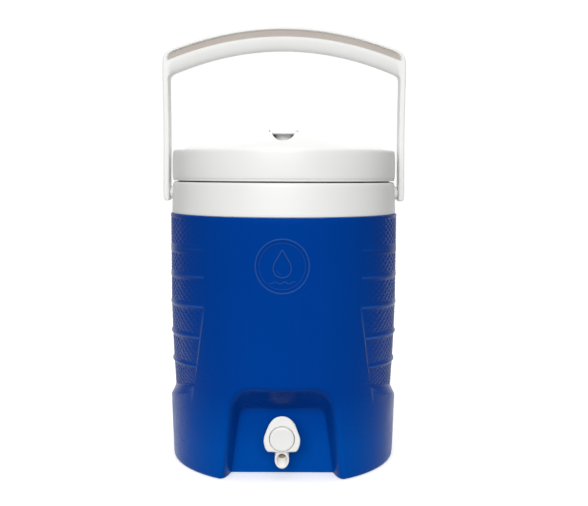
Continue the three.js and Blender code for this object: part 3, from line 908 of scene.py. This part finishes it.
def emblem():
    b = Body()
    bead(b, arc(0, 0, 26.5, 0, 360, 121)[:-1], 1.9, 0.75)
    bead(b, arc(0, 0, 22.6, 0, 360, 111)[:-1], 0.9, 0.45)
    drop = [(0, 16.5), (1.2, 14.2), (3.2, 10.6), (5.6, 6.8), (7.8, 2.8), (8.9, -1.2), (8.6, -5.0), (6.8, -8.3), (3.7, -10.4), (0, -11.1)]
    drop = drop + [(-x, z) for x, z in drop[-2:0:-1]]
    pts = resample(rounded(drop, 2), 1.0, True)
    bead(b, pts, 1.7, 0.8)
    wave = lambda z, w, a: [(x, z + a * math.sin(x * 2 * math.pi / 9.0)) for x in np.linspace(-w, w, 45)]
    bead(b, wave(-16.0, 12.5, 1.0), 1.3, 0.6, closed=False)
    shine = arc(0.0, -2.5, 5.0, 190, 262, 16)
    bead(b, shine, 1.0, 0.5, closed=False)
    o = b.make("front_emblem", "cooler", BLUE, sharp=50)
    # painted highlight mask: the raised tops of the emblem's beads take the lighter blue that stands in for light
    # caught on them
    at = o.data.attributes.new("painted_highlight_line", "FLOAT", "POINT")
    v = np.empty(len(o.data.vertices) * 3)
    o.data.vertices.foreach_get("co", v)
    v = v.reshape(-1, 3) / MM
    at.data.foreach_set("value", sstep(123.75, 124.2, np.hypot(v[:, 0], v[:, 1])) * 0.42)
    return o


emblem()

# ---------------------------------------------------------------- collar
CO_LO, CO_HI = mm("collar_ring")
BAIL_LO, BAIL_HI = mm("bail_handle")
PIV = 288.0


def collar():
    b = Body()
    t = CO_HI[2]
    prof = [(121.0, 266.5), (121.6, 266.42), (121.95, 266.75), (122.05, 267.4), (122.0, 269), (121.9, 272), (121.7, 277), (121.45, 283), (121.2, 289),
            (120.95, 294), (120.72, 297.4), (120.5, 298.7), (120.0, t - 0.35), (119.3, t - 0.03), (118.6, t), (116.2, t), (115.8, t - 0.5), (104.6, t - 0.5),
            (104.1, t - 0.15), (103.7, t - 0.4), (103.5, t - 1.0), (103.5, 296.85), (117.3, 296.85), (117.3, 256), (120.4, 256), (120.4, 266.5)]
    b.lathe(prof, segs=256)
    for s in (1, -1):
        boss = [(0, 117.8), (7.6, 117.8), (7.6, 121.6), (7.35, 122.6), (7.0, 123.4), (6.6, 124.2), (6.0, 124.6), (4.9, 124.7), (4.4, 124.4), (4.2, 123.2), (0, 123.2)]
        b.lathe([(r, s * x) for r, x in boss], axis="x", segs=48, centre=(0, 0, PIV))
    return b.make("collar_ring_moulding", "cooler", WHITE, sharp=40, replaces=("collar_ring",))


collar()

# ---------------------------------------------------------------- lid
LD_LO, LD_HI = mm("lid_shell")
DOME_R = [0, 16, 30.5, 43.8, 57.2, 70.5, 83.8, 92.7, 101.6, 110.4]
DOME_Z = [357.6, 357.2, 356.2, 354.5, 352.4, 349.6, 345.8, 342.2, 338.5, 334.5]


def dome(r):
    r = np.asarray(r, float)
    z = sum(np.interp(np.abs(r + d), DOME_R, DOME_Z) for d in (-5, -2.5, 0, 2.5, 5)) / 5
    k = sstep(101, 108, r)
    return z * (1 - k) + np.interp(r, DOME_R, DOME_Z) * k


def trough_outline():
    pts = [(15.2, -60.0), (15.2, 60.0)]
    a = np.linspace(0, math.pi, 25)
    end = [(11.5 * math.cos(t), 61.0 + 33.0 * math.sin(t)) for t in a]
    right = [(15.2, y) for y in np.linspace(-59, 59, 40)]
    up = [(14.9, 61.2), (14.0, 62.3), (12.6, 62.8)]
    pts = right + up + end + [(-x, y) for x, y in up[::-1]] + [(-x, y) for x, y in right[::-1]]
    low = [(-x, -y) for x, y in (up + end + [(-x, y) for x, y in up[::-1]])]
    return resample(np.array(pts + low), 1.7, True)


def lid():
    b = Body()
    N = 256
    bot = LD_LO[2]
    side = [(118.2, bot + 0.4), (118.7, bot), (120.0, bot), (120.45, bot + 0.3), (120.55, bot + 1.0), (120.55, bot + 2.0), (120.75, bot + 2.4), (121.05, bot + 2.75),
            (121.18, bot + 3.4), (121.25, bot + 6), (121.32, bot + 10), (121.34, bot + 14.8), (121.28, bot + 19), (121.15, bot + 24), (120.98, bot + 28),
            (120.85, bot + 29.8), (120.5, bot + 31.0), (119.9, bot + 31.9), (119.1, bot + 32.45), (118.2, bot + 32.65), (115, bot + 32.7), (111.9, bot + 32.75),
            (111.0, bot + 32.9), (110.4, float(dome(110.4)))]
    under = [(109.2, bot + 30.0), (117.0, bot + 29.8), (118.2, bot + 28.5)]
    a = np.arange(N) * 2 * math.pi / N
    ring = lambda r, z: np.c_[r * np.sin(a), -r * np.cos(a), np.full(N, z)]
    rows = [ring(r, z) for r, z in under[::-1]][:0] + [ring(118.2, bot + 28.5)] + [ring(r, z) for r, z in side]
    b.grid(np.array(rows), close_v=True)
    # top of the lid: the dome with the grip trough
    edge = ring(*side[-1])[:, :2]
    tr = trough_outline()
    tr = tr if area(tr) > 0 else tr[::-1]
    floor = 335.0
    offs = [(-2.4, 0), (-1.2, 1), (-0.55, 2), (0.0, 3), (0.35, 4), (0.75, 5), (1.25, 6), (2.2, 7)]
    loops = [inset(tr, d) for d, _ in offs]
    wide = filler(edge, 4.0, 2.4, avoid=[loops[0]])
    wide = wide[~inside(loops[0], wide)]
    r_ = np.hypot(*wide.T)
    flo = filler(loops[-1], 4.0, 1.6)
    V, F, src = fill([edge, *loops], np.vstack([wide, flo]))
    r = np.hypot(V[:, 0], V[:, 1])
    z = dome(r)
    n0, n1 = N, len(tr)
    for k, s in enumerate(src):
        if s >= n0 and s < n0 + n1 * len(offs):
            c = (s - n0) // n1
            zz = float(z[k])
            z[k] = [zz, zz, zz - 0.28, zz - 1.1, zz - 3.0, floor + 2.0, floor + 0.5, floor][c]
        elif s >= n0 + n1 * len(offs) + len(wide):
            z[k] = floor
    z[:0] = 0
    b.add(np.c_[V, z], F)
    # underside of the dome, hidden by the pan
    m = N
    u1, u2 = ring(118.2, bot + 28.5), ring(100.0, bot + 30.2)
    b.grid(np.array([u1, u2]), close_v=True)
    b.add(np.vstack([u2, [[0, 0, bot + 30.4]]]), [(k, (k + 1) % m, m) for k in range(m)])
    return b.make("lid_shell_moulding", "lid", WHITE, sharp=36, replaces=("lid_shell",))


lid()


def grip_bar():
    b = Body()
    lo, hi = mm("lid_grip_bar")
    hw, hl = hi[0] - 0.15, hi[1]
    CY = [-60, -50, -40, -28, -14, 0, 14, 28, 40, 50, 60]
    CZ = [353.2, 354.9, 356.4, 357.8, 358.7, 359.0, 358.7, 357.8, 356.4, 354.9, 353.2]
    crown = lambda y: np.interp(np.abs(y), CY[5:], CZ[5:])
    c = 4.0
    out = arc(hw - c, hl - c, c, 0, 90, 8) + arc(-hw + c, hl - c, c, 90, 180, 8) + arc(-hw + c, -hl + c, c, 180, 270, 8) + arc(hw - c, -hl + c, c, 270, 360, 8)
    out = resample(out, 1.8, True)
    ds = [0.0, 0.2, 0.6, 1.2, 2.0, 2.9]
    loops = [inset(out, d) for d in ds]
    extra = filler(loops[-1], 3.0, 1.4)
    n = len(out)

    def drop(src, rr):
        d = np.full(len(src), 9.0)
        for k, s in enumerate(src):
            if 0 <= s < n * len(ds):
                d[k] = ds[s // n]
        return fillet_drop(d, rr)

    place = lambda P, h: np.c_[P, h]
    slab(b, loops, extra, place, lambda P, s: crown(P[:, 1]) - drop(s, 2.2) - 0.012 * P[:, 0] ** 2 * 0.35, lambda P, s: np.full(len(P), lo[2] + 14.05) + drop(s, 0.9))
    web = resample(rounded([(9, -42), (9, 42), (5, 46), (-5, 46), (-9, 42), (-9, -42), (-5, -46), (5, -46)], 2), 2.2, True)
    w2 = [web, inset(web, 0.5), inset(web, 1.4)]
    slab(b, w2, filler(w2[-1], 4.0, 1.6), place, lambda P, s: np.full(len(P), 351.0), lambda P, s: np.full(len(P), lo[2]))
    return b.make("lid_grip_bar_moulding", "lid", WHITE, sharp=40, replaces=("lid_grip_bar",))


grip_bar()

# ---------------------------------------------------------------- bail handle
def bail():
    b = Body()
    top = BAIL_HI[2]
    bottom = BAIL_LO[2]
    hd = BAIL_HI[1]
    out_leg = [(126.4, bottom + 0.05), (128.4, bottom + 0.05), (130.2, bottom + 0.9), (131.1, bottom + 2.8), (131.2, bottom + 6), (131.2, 300), (130.9, 320), (130.6, 340), (130.5, 367), (130.75, 385), (131, 400),
               (131.2, 415), (131.15, 424), (130.7, 431), (129.0, 435.8), (126.3, 439.1), (122.0, 441.6)]
    in_leg = [(125.1, bottom + 1.2), (125.1, 300), (124.85, 320), (124.6, 340), (124.5, 367), (124.7, 385), (124.85, 398), (124.9, 404.5), (124.9, 408.5), (124.85, 411.3), (124.5, 413.0), (123.2, 414.0)]
    arch = [(x, top - 0.001617 * x * x) for x in np.linspace(118, -118, 119)]
    inarch = [(x, top - 25.0 - 0.00175 * x * x) for x in np.linspace(-119.5, 119.5, 115)]
    outer = np.array(out_leg + arch + [(-x, z) for x, z in out_leg[::-1]])
    inner = np.array([(-x, z) for x, z in in_leg] + inarch + in_leg[::-1])
    outer = rounded(outer, 2, closed=False)
    inner = rounded(inner, 2, closed=False)
    loop = resample(np.vstack([outer, inner]), 1.9, True)
    if area(loop) < 0:
        loop = loop[::-1]
    zt = lambda x: top - 2.4 - 0.001617 * x * x
    zb = lambda x: top - 10.8 - 0.001617 * x * x
    xs = np.linspace(118.6, -118.6, 119)
    pocket = [(126.2, 430.0), (126.2, 433.0), (125.4, 435.4), (123.8, 437.4), (121.6, 439.0)] + [(x, zt(x)) for x in xs] + \
             [(-121.6, 439.0), (-123.8, 437.4), (-125.4, 435.4), (-126.2, 433.0), (-126.2, 430.0), (-125.6, 429.6)] + [(x, zb(x)) for x in np.linspace(-124.4, 124.4, 120)] + [(125.6, 429.6)]
    pocket = resample(np.array(pocket), 1.9, True)
    if area(pocket) < 0:
        pocket = pocket[::-1]
    ds = [0.0, 0.22, 0.6, 1.15, 1.9, 2.55]
    loops = [inset(loop, d) for d in ds]
    # the flange above the band is only 2.4 thick, so its rounding is kept small there
    pk = [inset(pocket, d) for d in (-0.45, -0.1, 0.35, 0.9)]
    outer_line, inner_line = outer, inner

    def depth(P):
        do, wo = gap_to(outer_line, P)
        di, wi = gap_to(inner_line, P)
        on_arch = 1 - sstep(119.5, 125.0, np.abs(P[:, 0]))
        ro = lerp(2.0, 1.0, sstep(425, 440, P[:, 1]))
        # legs and arch outer edge
        h = np.full(len(P), hd) - fillet_drop(do, 1.0) * 1.0 * lerp(1.6, 0.9, sstep(425, 440, P[:, 1]))
        h -= lerp(fillet_drop(di, 1.8) * 1.0, 0, on_arch)
        # grip: a full round from the band down to the inner edge of the arch
        rr = 13.6
        d = np.clip(di, 0, rr)
        rnd = 0.6 + (hd - 0.6) * np.sqrt(np.maximum(1 - (1 - d / rr) ** 2, 0))
        return lerp(h, np.minimum(h, rnd), on_arch)

    grip_lines = []
    for off in (3.5, 4.8, 6.4, 8.4, 10.6, 12.6):
        grip_lines.append(np.array([(x, top - 25.0 + off - 0.00174 * x * x) for x in np.linspace(-118, 118, 110)]))
    extra = np.vstack(grip_lines)
    di, _ = gap_to(pk[0], extra, closed=True)
    extra = extra[(di > 0.6) & ~inside(pk[0], extra)]
    corner = filler(loops[-1], 2.2, 1.0, avoid=[pk[0]])
    corner = corner[~inside(pk[0], corner) & (np.abs(corner[:, 0]) > 119.5)]
    # inside the pocket
    pin = filler(pk[-1], 4.0, 1.5)
    extra = np.vstack([extra, corner, pin])
    nl = len(loop)
    n_pk = len(pocket)
    start_pk = nl * len(ds)

    memo = {}

    def top_h(P, src):
        if "h" not in memo:
            h0 = depth(P)
            h = np.where(inside(pk[2], P), np.minimum(hd - 3.4, h0 - 1.9), h0)
            for k, s in enumerate(src):
                if start_pk <= s < start_pk + n_pk * 4:
                    c = (s - start_pk) // n_pk
                    h[k] = [h0[k], h0[k] - 0.3, h0[k] - 1.4, min(hd - 3.4, h0[k] - 1.9)][c]
            memo["h"] = h
        return memo["h"]

    place_f = lambda P, h: np.c_[P[:, 0], -h, P[:, 1]]
    slab(b, [*loops, *pk], extra, place_f, top_h, lambda P, s: -top_h(P, s))
    for s in (1, -1):
        peg = [(0, 117.9), (3.4, 117.9), (4.0, 118.5), (4.0, 126.5), (0, 126.5)]
        b.lathe([(r, s * x) for r, x in peg], axis="x", segs=32, centre=(0, 0, PIV))
    o = b.make("bail_handle_moulding", "bail", HANDLE, sharp=40, replaces=("bail_handle",))
    # the faces of the recessed band take the painted-shade material
    o.data.materials.append(RECESS_SHADE)
    for p in o.data.polygons:
        c = p.center * 1000
        if abs(c.y) < hd - 1.8 and abs(c.x) < 126.3 and abs(p.normal.y) > 0.9 and zb(c.x) < c.z < zt(c.x) + 0.5:
            p.material_index = 1
    return o


bail()

# ---------------------------------------------------------------- spigot
SP_LO, SP_HI = mm("spigot_body")
BT_LO, BT_HI = mm("push_button")
TZ = (BT_LO[2] + BT_HI[2]) / 2
TF = SP_LO[1]


def spigot():
    b = Body()
    bell = [(0, 23.6), (4.1, 23.0), (7.2, 21.6), (9.7, 19.5), (11.5, 17.3), (12.8, 15.2), (13.8, 13.2), (14.6, 11.4), (15.3, 9.6), (16.0, 7.8), (16.9, 5.2), (17.9, 2.8), (18.4, 0.6), (18.7, -2.0),
            (18.4, -5.0), (17.7, -8.0), (16.9, -10.3), (15.8, -12.1), (14.5, -13.3), (12.8, -13.8)]
    out = [(x, z + TZ) for x, z in bell] + [(-x, z + TZ) for x, z in bell[::-1][:-1]]
    out = resample(rounded(out, 2), 1.1, True)
    if area(out) < 0:
        out = out[::-1]
    front = -112.0
    ds = [0.0, 0.15, 0.5, 1.0, 1.7, 2.4]
    # the plate's edge is rounded, and less so under the button, where the plate is narrow
    room = np.clip((np.hypot(out[:, 0], out[:, 1] - TZ) - 13.35) / 2.7, 0.07, 1.0)
    room = np.convolve(np.r_[room[-2:], room, room[:2]], [0.15, 0.2, 0.3, 0.2, 0.15], "valid")
    loops = [out + (inset(out, 1.0) - out) * (d * room)[:, None] for d in ds]
    circ = [np.array(arc(0, TZ, r, 0, 360, 97))[:-1] for r in (13.3, 13.08, 12.93, 12.87, 12.82)]
    ch = [0.0, 0.15, 0.55, 1.4, 10.95]
    extra = filler(loops[-1], 2.4, 1.1, holes=[circ[0]])
    well = filler(circ[-1], 4.0, 2.0)
    n = len(out)

    def depth(P, src):
        d, w = np.full(len(P), 9.0), np.ones(len(P))
        y = np.zeros(len(P))
        for k, s in enumerate(src):
            if 0 <= s < n * len(ds):
                d[k] = ds[s // n]
                w[k] = room[s % n]
            elif n * len(ds) <= s < n * len(ds) + 96 * 5:
                y[k] = ch[(s - n * len(ds)) // 96]
            elif s >= n * len(ds) + 480 + len(extra):
                y[k] = 10.95
        return front + fillet_drop(d, 1.9) * w + y

    def place(P, h):
        # the plate tapers towards the back
        q = P - np.array([0.0, TZ])
        r = np.hypot(q[:, 0], q[:, 1])
        k = sstep(-111.9, -103.5, h)
        r2 = np.where(r > 13.3, 13.3 + (r - 13.3) * (1 - 0.5 * k), r)
        q = q * (r2 / np.maximum(r, 1e-6))[:, None]
        return np.c_[q[:, 0], h, q[:, 1] + TZ]

    slab(b, [*loops, *circ], np.vstack([extra, well]), place, depth, lambda P, s: np.where(np.hypot(P[:, 0], P[:, 1] - TZ) < 13.32, -100.6, -103.0))
    c = (0, 0, TZ)
    b.lathe([(0, -100.9), (13.0, -100.9), (13.0, -103.6), (13.2, -103.6), (13.9, -102.8), (13.9, -87.4), (14.7, -87.2), (15.1, -86.7), (15.1, -84.2), (9.5, -84.2), (9.5, -53), (8.9, -52), (7.2, -52), (7.0, -52.6), (7.0, -84), (0, -84)], axis="y", segs=72, centre=c)
    # thread ridges on the shank, out of sight inside the jug
    b.lathe([(8.6, -82.0)] + [(9.5 + 0.45 * (k % 2), -81.5 + k * 0.85) for k in range(34)] + [(8.6, -52.4)], axis="y", segs=48, centre=c)
    # spout: a tube down and forwards, its mouth cut nearly upright, with a rounded lip
    axis = np.array([0, -math.sin(math.pi / 4), -math.cos(math.pi / 4)])
    origin = np.array([0, -92, TZ - 4.7])
    side = np.array([1.0, 0, 0])
    up = np.cross(axis, side)
    m = 64
    a = np.arange(m) * 2 * math.pi / m

    def ring(r, s, cut=None, back=0.0):
        p = origin + axis * s + r * (np.cos(a)[:, None] * side + np.sin(a)[:, None] * up)
        if cut is not None:
            # slide each point along the axis on to the cut plane, less the given set-back
            n_, d_ = cut
            t = (d_ - p @ n_) / (axis @ n_)
            p = p + axis * (t - back)[:, None]
        return p

    p0, p1 = np.array([0, -111.0, 34.0]), np.array([0, -108.0, 5.0])
    dirc = (p1 - p0) / np.linalg.norm(p1 - p0)
    nn = np.cross(dirc, np.array([1.0, 0, 0]))
    cut = (nn, float(nn @ p0))
    rows = [ring(7.2, 1.0), ring(7.2, 6.0), ring(7.2, 0, cut, 5.0), ring(7.2, 0, cut, 2.0), ring(7.2, 0, cut, 0.55), ring(7.05, 0, cut, 0.18), ring(6.75, 0, cut, 0.0), ring(5.75, 0, cut, 0.0),
            ring(5.42, 0, cut, 0.15), ring(5.25, 0, cut, 0.55), ring(5.25, 0, cut, 4.0), ring(5.25, 0, cut, 9.2), ring(5.25, 6.0), ring(5.25, 1.0)]
    # the button's well stays clear: where the tube passes under it, its top is pressed down round the well
    outer, inner = rows[:7], rows[7:]

    def finer(some, i, steps):
        return some[:i + 1] + [lerp(some[i], some[i + 1], k / steps) for k in range(1, steps)] + some[i + 1:]

    def clear(p, least):
        q = p - np.array([0, 0, TZ])
        r = np.hypot(q[:, 0], q[:, 2])
        k = np.where((p[:, 1] < -100.75) & (r < least), least / np.maximum(r, 1e-6), 1.0)
        return np.c_[q[:, 0] * k, p[:, 1], q[:, 2] * k + TZ]

    outer = [clear(p, 13.0) for p in finer(outer, 1, 30)]
    inner = [clear(p, 13.35) for p in finer(finer(inner, 5, 12), 4, 16)]
    b.grid(np.array(outer + inner), close_v=True)
    e0, e1 = ring(7.2, 1.0), ring(5.25, 1.0)
    b.grid(np.array([e1, e0]), close_v=True)
    b.add(np.vstack([ring(5.3, 1.2), [origin + axis * 1.2]]), [(k, (k + 1) % m, m) for k in range(m)] )
    b.add(np.vstack([ring(5.3, 0.6), [origin + axis * 0.6]]), [((k + 1) % m, k, m) for k in range(m)] )
    b.grid(np.array([ring(5.3, 1.2), ring(5.3, 0.6)]), close_v=True)
    o = b.make("spigot_body_moulding", "cooler", TAP, sharp=38, replaces=("spigot_body",))
    # painted shade: the deep part of the spout's bore takes a darker, warmer tone that stands in for the shade inside
    # the tube
    o.data.materials.append(BORE_SHADE)
    nn_, dd_ = cut
    for p in o.data.polygons:
        c = np.array(p.center) * 1000
        s = float((c - origin) @ axis)
        r = float(np.linalg.norm(c - origin - axis * s))
        back = (dd_ - float(c @ nn_)) / float(axis @ nn_)
        if r < 5.45 and s > 0.3 and back > 7.0:
            p.material_index = 1
    return o


spigot()


def spring():
    """The button's return spring: its back end stands in the tap, its front end at the button."""
    b = Body()
    turns, radius, y0, y1, steps = 4.5, 7.5, -111.5, -102.0, 150
    rows = []
    for k in range(steps + 1):
        t = k / steps
        a = t * turns * 2 * math.pi
        out = np.array([math.cos(a), 0, math.sin(a)])
        c = out * radius + [0, y0 + (y1 - y0) * t, TZ]
        along = np.array([-math.sin(a) * radius * turns * 2 * math.pi, y1 - y0, math.cos(a) * radius * turns * 2 * math.pi])
        along /= np.linalg.norm(along)
        third = np.cross(along, out)
        w = np.arange(10) * 2 * math.pi / 10
        rows.append(c + 0.48 * (np.cos(w)[:, None] * out + np.sin(w)[:, None] * third))
    b.grid(np.array(rows), close_v=True)
    for r in (rows[0], rows[-1]):
        b.add(r, [tuple(range(10))])
    bm = bmesh.new()
    made = [bm.verts.new(p) for p in (np.vstack(b.v) * MM).tolist()]
    for f in b.f:
        bm.faces.new([made[i] for i in f])
    bmesh.ops.remove_doubles(bm, verts=bm.verts, dist=2e-6)
    bmesh.ops.recalc_face_normals(bm, faces=bm.faces)
    me = bpy.data.meshes.new("return_spring")
    bm.to_mesh(me)
    bm.free()
    me.polygons.foreach_set("use_smooth", [True] * len(me.polygons))
    me.set_sharp_from_angle(angle=math.radians(60))
    o = bpy.data.objects.new("return_spring", me)
    sc_ = bpy.context.scene
    sc_.collection.objects.link(o)
    me.materials.append(STEEL)
    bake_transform(o)
    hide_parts("button_spring")
    return o


spring()


def small_turned():
    c = (0, 0, TZ)
    b = Body()
    f = BT_LO[1]
    b.lathe([(0, f + 0.25), (4.0, f + 0.24), (8.0, f + 0.16), (9.6, f + 0.02), (10.7, f), (11.4, f + 0.12), (12.0, f + 0.5), (12.3, f + 1.0), (12.4, f + 1.7), (12.4, -106.7), (12.2, -106.5), (10.8, -106.5),
             (10.6, -106.7), (10.6, -112.2), (4.6, -112.2), (4.6, -107.2), (4.4, -107), (2.8, -107), (2.8, -111.9), (0, -111.9)], axis="y", segs=96, centre=c)
    b.make("push_button_cap", "button", BUTTON, replaces=("push_button",))
    b = Body()
    lo, hi = mm("spigot_washer_outer")
    b.lathe([(10, lo[1] + 0.1), (10.3, lo[1]), (14.6, lo[1]), (15.0, lo[1] + 0.35), (15.0, hi[1] - 0.35), (14.6, hi[1]), (10.3, hi[1]), (10, hi[1] - 0.1)], axis="y", segs=72, centre=c)
    b.make("spigot_washer_outer_ring", "cooler", RUBBER, replaces=("spigot_washer_outer",))
    b = Body()
    lo, hi = mm("spigot_washer_inner")
    b.lathe([(10, lo[1] + 0.2), (10.3, lo[1]), (15.1, lo[1]), (15.5, lo[1] + 0.4), (15.5, hi[1] - 0.4), (15.1, hi[1]), (10.3, hi[1]), (10, hi[1] - 0.2)], axis="y", segs=72, centre=c)
    b.make("spigot_washer_inner_ring", "cooler", RUBBER, replaces=("spigot_washer_inner",))
    # lid gasket, a soft ring with a rounded section
    b = Body()
    lo, hi = mm("lid_gasket")
    z0, z1 = lo[2], hi[2]
    b.lathe([(104.6, z1), (104.5, z1 - 0.35), (104.9, z0 + 0.35), (105.8, z0 + 0.05), (107.5, z0), (109.2, z0 + 0.25), (110, z0 + 0.4), (110.8, z0 + 0.25), (112.5, z0), (114.3, z0 + 0.05), (115.2, z0 + 0.35),
             (115.5, z1 - 0.35), (115.4, z1)], segs=192)
    b.make("lid_gasket_ring", "lid", SILICONE, replaces=("lid_gasket",))
    # the lid's inner pan
    b = Body()
    b.lathe([(0, 276.0), (30, 276.0), (31.2, 276.35), (33.2, 276.35), (34.4, 276.0), (72, 276.0), (73.2, 276.35), (75.4, 276.35), (76.6, 276.0), (94.2, 276.0), (95.9, 276.3), (97.1, 277.1), (97.7, 278.5), (97.8, 280.5),
             (97.8, 299.8), (98.1, 300.9), (98.9, 301.55), (100, 301.6), (117.1, 301.6), (117.6, 302.0), (117.6, 303.4), (117.1, 303.8), (96.2, 303.8), (95.4, 303.0), (95.4, 279.6), (94.6, 278.6), (93, 278.4), (0, 278.4)], segs=192)
    b.make("lid_liner_pan", "lid", LINER, replaces=("lid_liner",))
    b = Body()
    lo, hi = mm("lid_fill_plug")
    z0 = lo[2]
    b.lathe([(0, z0), (7.9, z0), (8.7, z0 + 0.25), (9.0, z0 + 0.8), (9.0, z0 + 1.4), (5.8, z0 + 1.4), (5.8, hi[2]), (0, hi[2])], segs=64)
    b.make("lid_fill_plug_cap", "lid", LINER, replaces=("lid_fill_plug",))
    b = Body()
    lo, hi = mm("foam_fill_plug")
    z0 = lo[2]
    b.lathe([(0, z0 + 0.3), (6.5, z0 + 0.3), (7.2, z0), (10, z0), (10.8, z0 + 0.3), (11.0, z0 + 0.9), (11.0, z0 + 1.8), (7.8, z0 + 1.8), (7.8, hi[2]), (0, hi[2])], segs=64)
    b.make("foam_fill_plug_cap", "cooler", BLUE, replaces=("foam_fill_plug",))


small_turned()


def liner():
    b = Body()
    lo, hi = mm("inner_liner")
    top = hi[2]
    prof_in = [(0, 22.6), (40, 22.6), (88, 22.7), (93.5, 23.3), (96.6, 25.0), (98.1, 28.2), (98.5, 33), (98.5, 60), (98.5, 85), (98.5, 98), (98.5, 104), (98.5, 110), (98.5, 130), (98.5, 200), (98.6, 286), (98.9, 292.5), (99.6, 295.2), (101.0, 296.3), (102.6, top)]
    prof_out = [(113.4, top), (114, top - 0.6), (114, 293.8), (113.5, 293.3), (101.6, 293.3), (101, 292.6), (101, 110), (101, 104), (101, 98), (101, 60), (101, 25), (99, 21), (96, 20), (0, 20)]
    segs = 192
    a = np.arange(segs) * 2 * math.pi / segs

    def flat(z, inner):
        # the front flat: upright, then leaning out to the round wall above the alcove
        y = np.interp(z, [0, 85, 107, 112], [-67, -67, -101.5, -135])
        return y + (2.4 if inner else 0.0)

    def ring(r, z, inner):
        p = np.c_[r * np.sin(a), -r * np.cos(a), np.full(segs, z)]
        p[:, 1] = np.maximum(p[:, 1], flat(z, inner))
        return p

    rows = [ring(r, z, True) for r, z in prof_in[1:]] + [ring(r, z, False) for r, z in prof_out[:-1]]
    b.grid(np.array(rows), close_v=True)
    b.add(np.vstack([rows[0], [[0, 0, 22.6]]]), [(k, (k + 1) % segs, segs) for k in range(segs)])
    b.add(np.vstack([rows[-1], [[0, 0, 20.0]]]), [(k, (k + 1) % segs, segs) for k in range(segs)])
    b.make("inner_liner_tub", "cooler", LINER, replaces=("inner_liner",))


liner()

# ---------------------------------------------------------------- CAD pieces that stay as they are
for name, mat in (("insulation_foam", FOAM), ("lid_insulation", FOAM), ("spigot_lock_nut", TAP), ("valve_stem", TAP), ("valve_seal", RUBBER)):
    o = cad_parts[name]
    o.data.materials.clear()
    o.data.materials.append(mat)

# ---------------------------------------------------------------- stage, light and camera
sc = bpy.context.scene
sc.view_settings.view_transform = "Standard"
sc.view_settings.look = "None"
sc.view_settings.exposure = 0.0
sc.view_settings.gamma = 1.0

bm = bmesh.new()
bmesh.ops.create_grid(bm, x_segments=24, y_segments=24, size=0.8)
me = bpy.data.meshes.new("floor")
bm.to_mesh(me)
bm.free()
floor = bpy.data.objects.new("floor", me)
floor.location = (0, 0, -0.0006)
sc.collection.objects.link(floor)
floor.visible_diffuse = False
fm = bpy.data.materials.new("pale_floor")
fm.use_nodes = True
fb = fm.node_tree.nodes["Principled BSDF"]
fb.inputs["Base Color"].default_value = (0.90, 0.90, 0.90, 1)
fb.inputs["Roughness"].default_value = 0.9
fb.inputs["Specular IOR Level"].default_value = 0.05
fb.inputs["Emission Color"].default_value = (1, 1, 1, 1)
fb.inputs["Emission Strength"].default_value = 0.42
me.materials.append(fm)

# the floor goes on further out, where it does not show in the plastic's reflections
bm = bmesh.new()
bmesh.ops.create_grid(bm, x_segments=24, y_segments=24, size=6.0)
far_mesh = bpy.data.meshes.new("floor_far")
bm.to_mesh(far_mesh)
bm.free()
far_mesh.materials.append(fm)
far = bpy.data.objects.new("floor_far", far_mesh)
far.location = (0, 0, -0.0011)
sc.collection.objects.link(far)
far.visible_diffuse = False
far.visible_glossy = False

world = bpy.data.worlds.new("studio")
sc.world = world
world.use_nodes = True
wn = world.node_tree
wn.nodes.clear()
wo = wn.nodes.new("ShaderNodeOutputWorld")
bg = wn.nodes.new("ShaderNodeBackground")
tcw = wn.nodes.new("ShaderNodeTexCoord")
sep = wn.nodes.new("ShaderNodeSeparateXYZ")
wn.links.new(tcw.outputs["Generated"], sep.inputs[0])
cr = wn.nodes.new("ShaderNodeValToRGB")
cr.color_ramp.elements[0].position = 0.0
cr.color_ramp.elements[0].color = (0.28, 0.28, 0.28, 1)
cr.color_ramp.elements[1].position = 1.0
cr.color_ramp.elements[1].color = (1.03, 1.03, 1.03, 1)
for pos, val in ((0.5, 0.23), (0.83, 0.23), (0.94, 1.03)):
    el = cr.color_ramp.elements.new(pos)
    el.color = (val, val, val, 1)
mr = wn.nodes.new("ShaderNodeMapRange")
mr.inputs["From Min"].default_value = -1
mr.inputs["From Max"].default_value = 1
wn.links.new(sep.outputs["Y"], mr.inputs["Value"])
wn.links.new(mr.outputs["Result"], cr.inputs[0])
wn.links.new(cr.outputs[0], bg.inputs["Color"])
bg.inputs["Strength"].default_value = 1.0
wn.links.new(bg.outputs[0], wo.inputs[0])


def area_light(name, loc, target, size, power, size_y=None):
    l = bpy.data.lights.new(name, "AREA")
    l.shape = "RECTANGLE"
    l.size, l.size_y = size, size_y or size
    l.energy = power
    o = bpy.data.objects.new(name, l)
    o.location = loc
    o.rotation_euler = (Vector(target) - Vector(loc)).to_track_quat("-Z", "Y").to_euler()
    sc.collection.objects.link(o)
    return o


area_light("front_box", (-0.19, -2.4, 1.12), (0, 0, 0.2), 2.1, 43.0, 1.0)
low = area_light("low_bounce", (0.0, -0.46, 0.035), (0, -0.12, 0.05), 0.9, 0.14, 0.06)
low.visible_camera = False
area_light("back_box", (0.0, 2.6, 1.6), (0, 0, 0.2), 1.6, 10.0, 1.2)
sun = bpy.data.lights.new("top_soft", "SUN")
sun.energy = 1.25
sun.angle = math.radians(70)
so = bpy.data.objects.new("top_soft", sun)
so.location = (0, 0, 2.5)
so.rotation_euler = (math.radians(6), 0, 0)
sc.collection.objects.link(so)

cam = bpy.data.cameras.new("camera")
cam.sensor_width = 36.0
cam.sensor_fit = "HORIZONTAL"
cam.lens = 875.5 * 36 / 588
cam.clip_start, cam.clip_end = 0.05, 50
co = bpy.data.objects.new("camera", cam)
co.location = (0.0110, -0.967, 0.309)
co.rotation_euler = Euler((math.radians(90 - 5.19), math.radians(-0.24), 0.0), "XYZ")
sc.collection.objects.link(co)
sc.camera = co
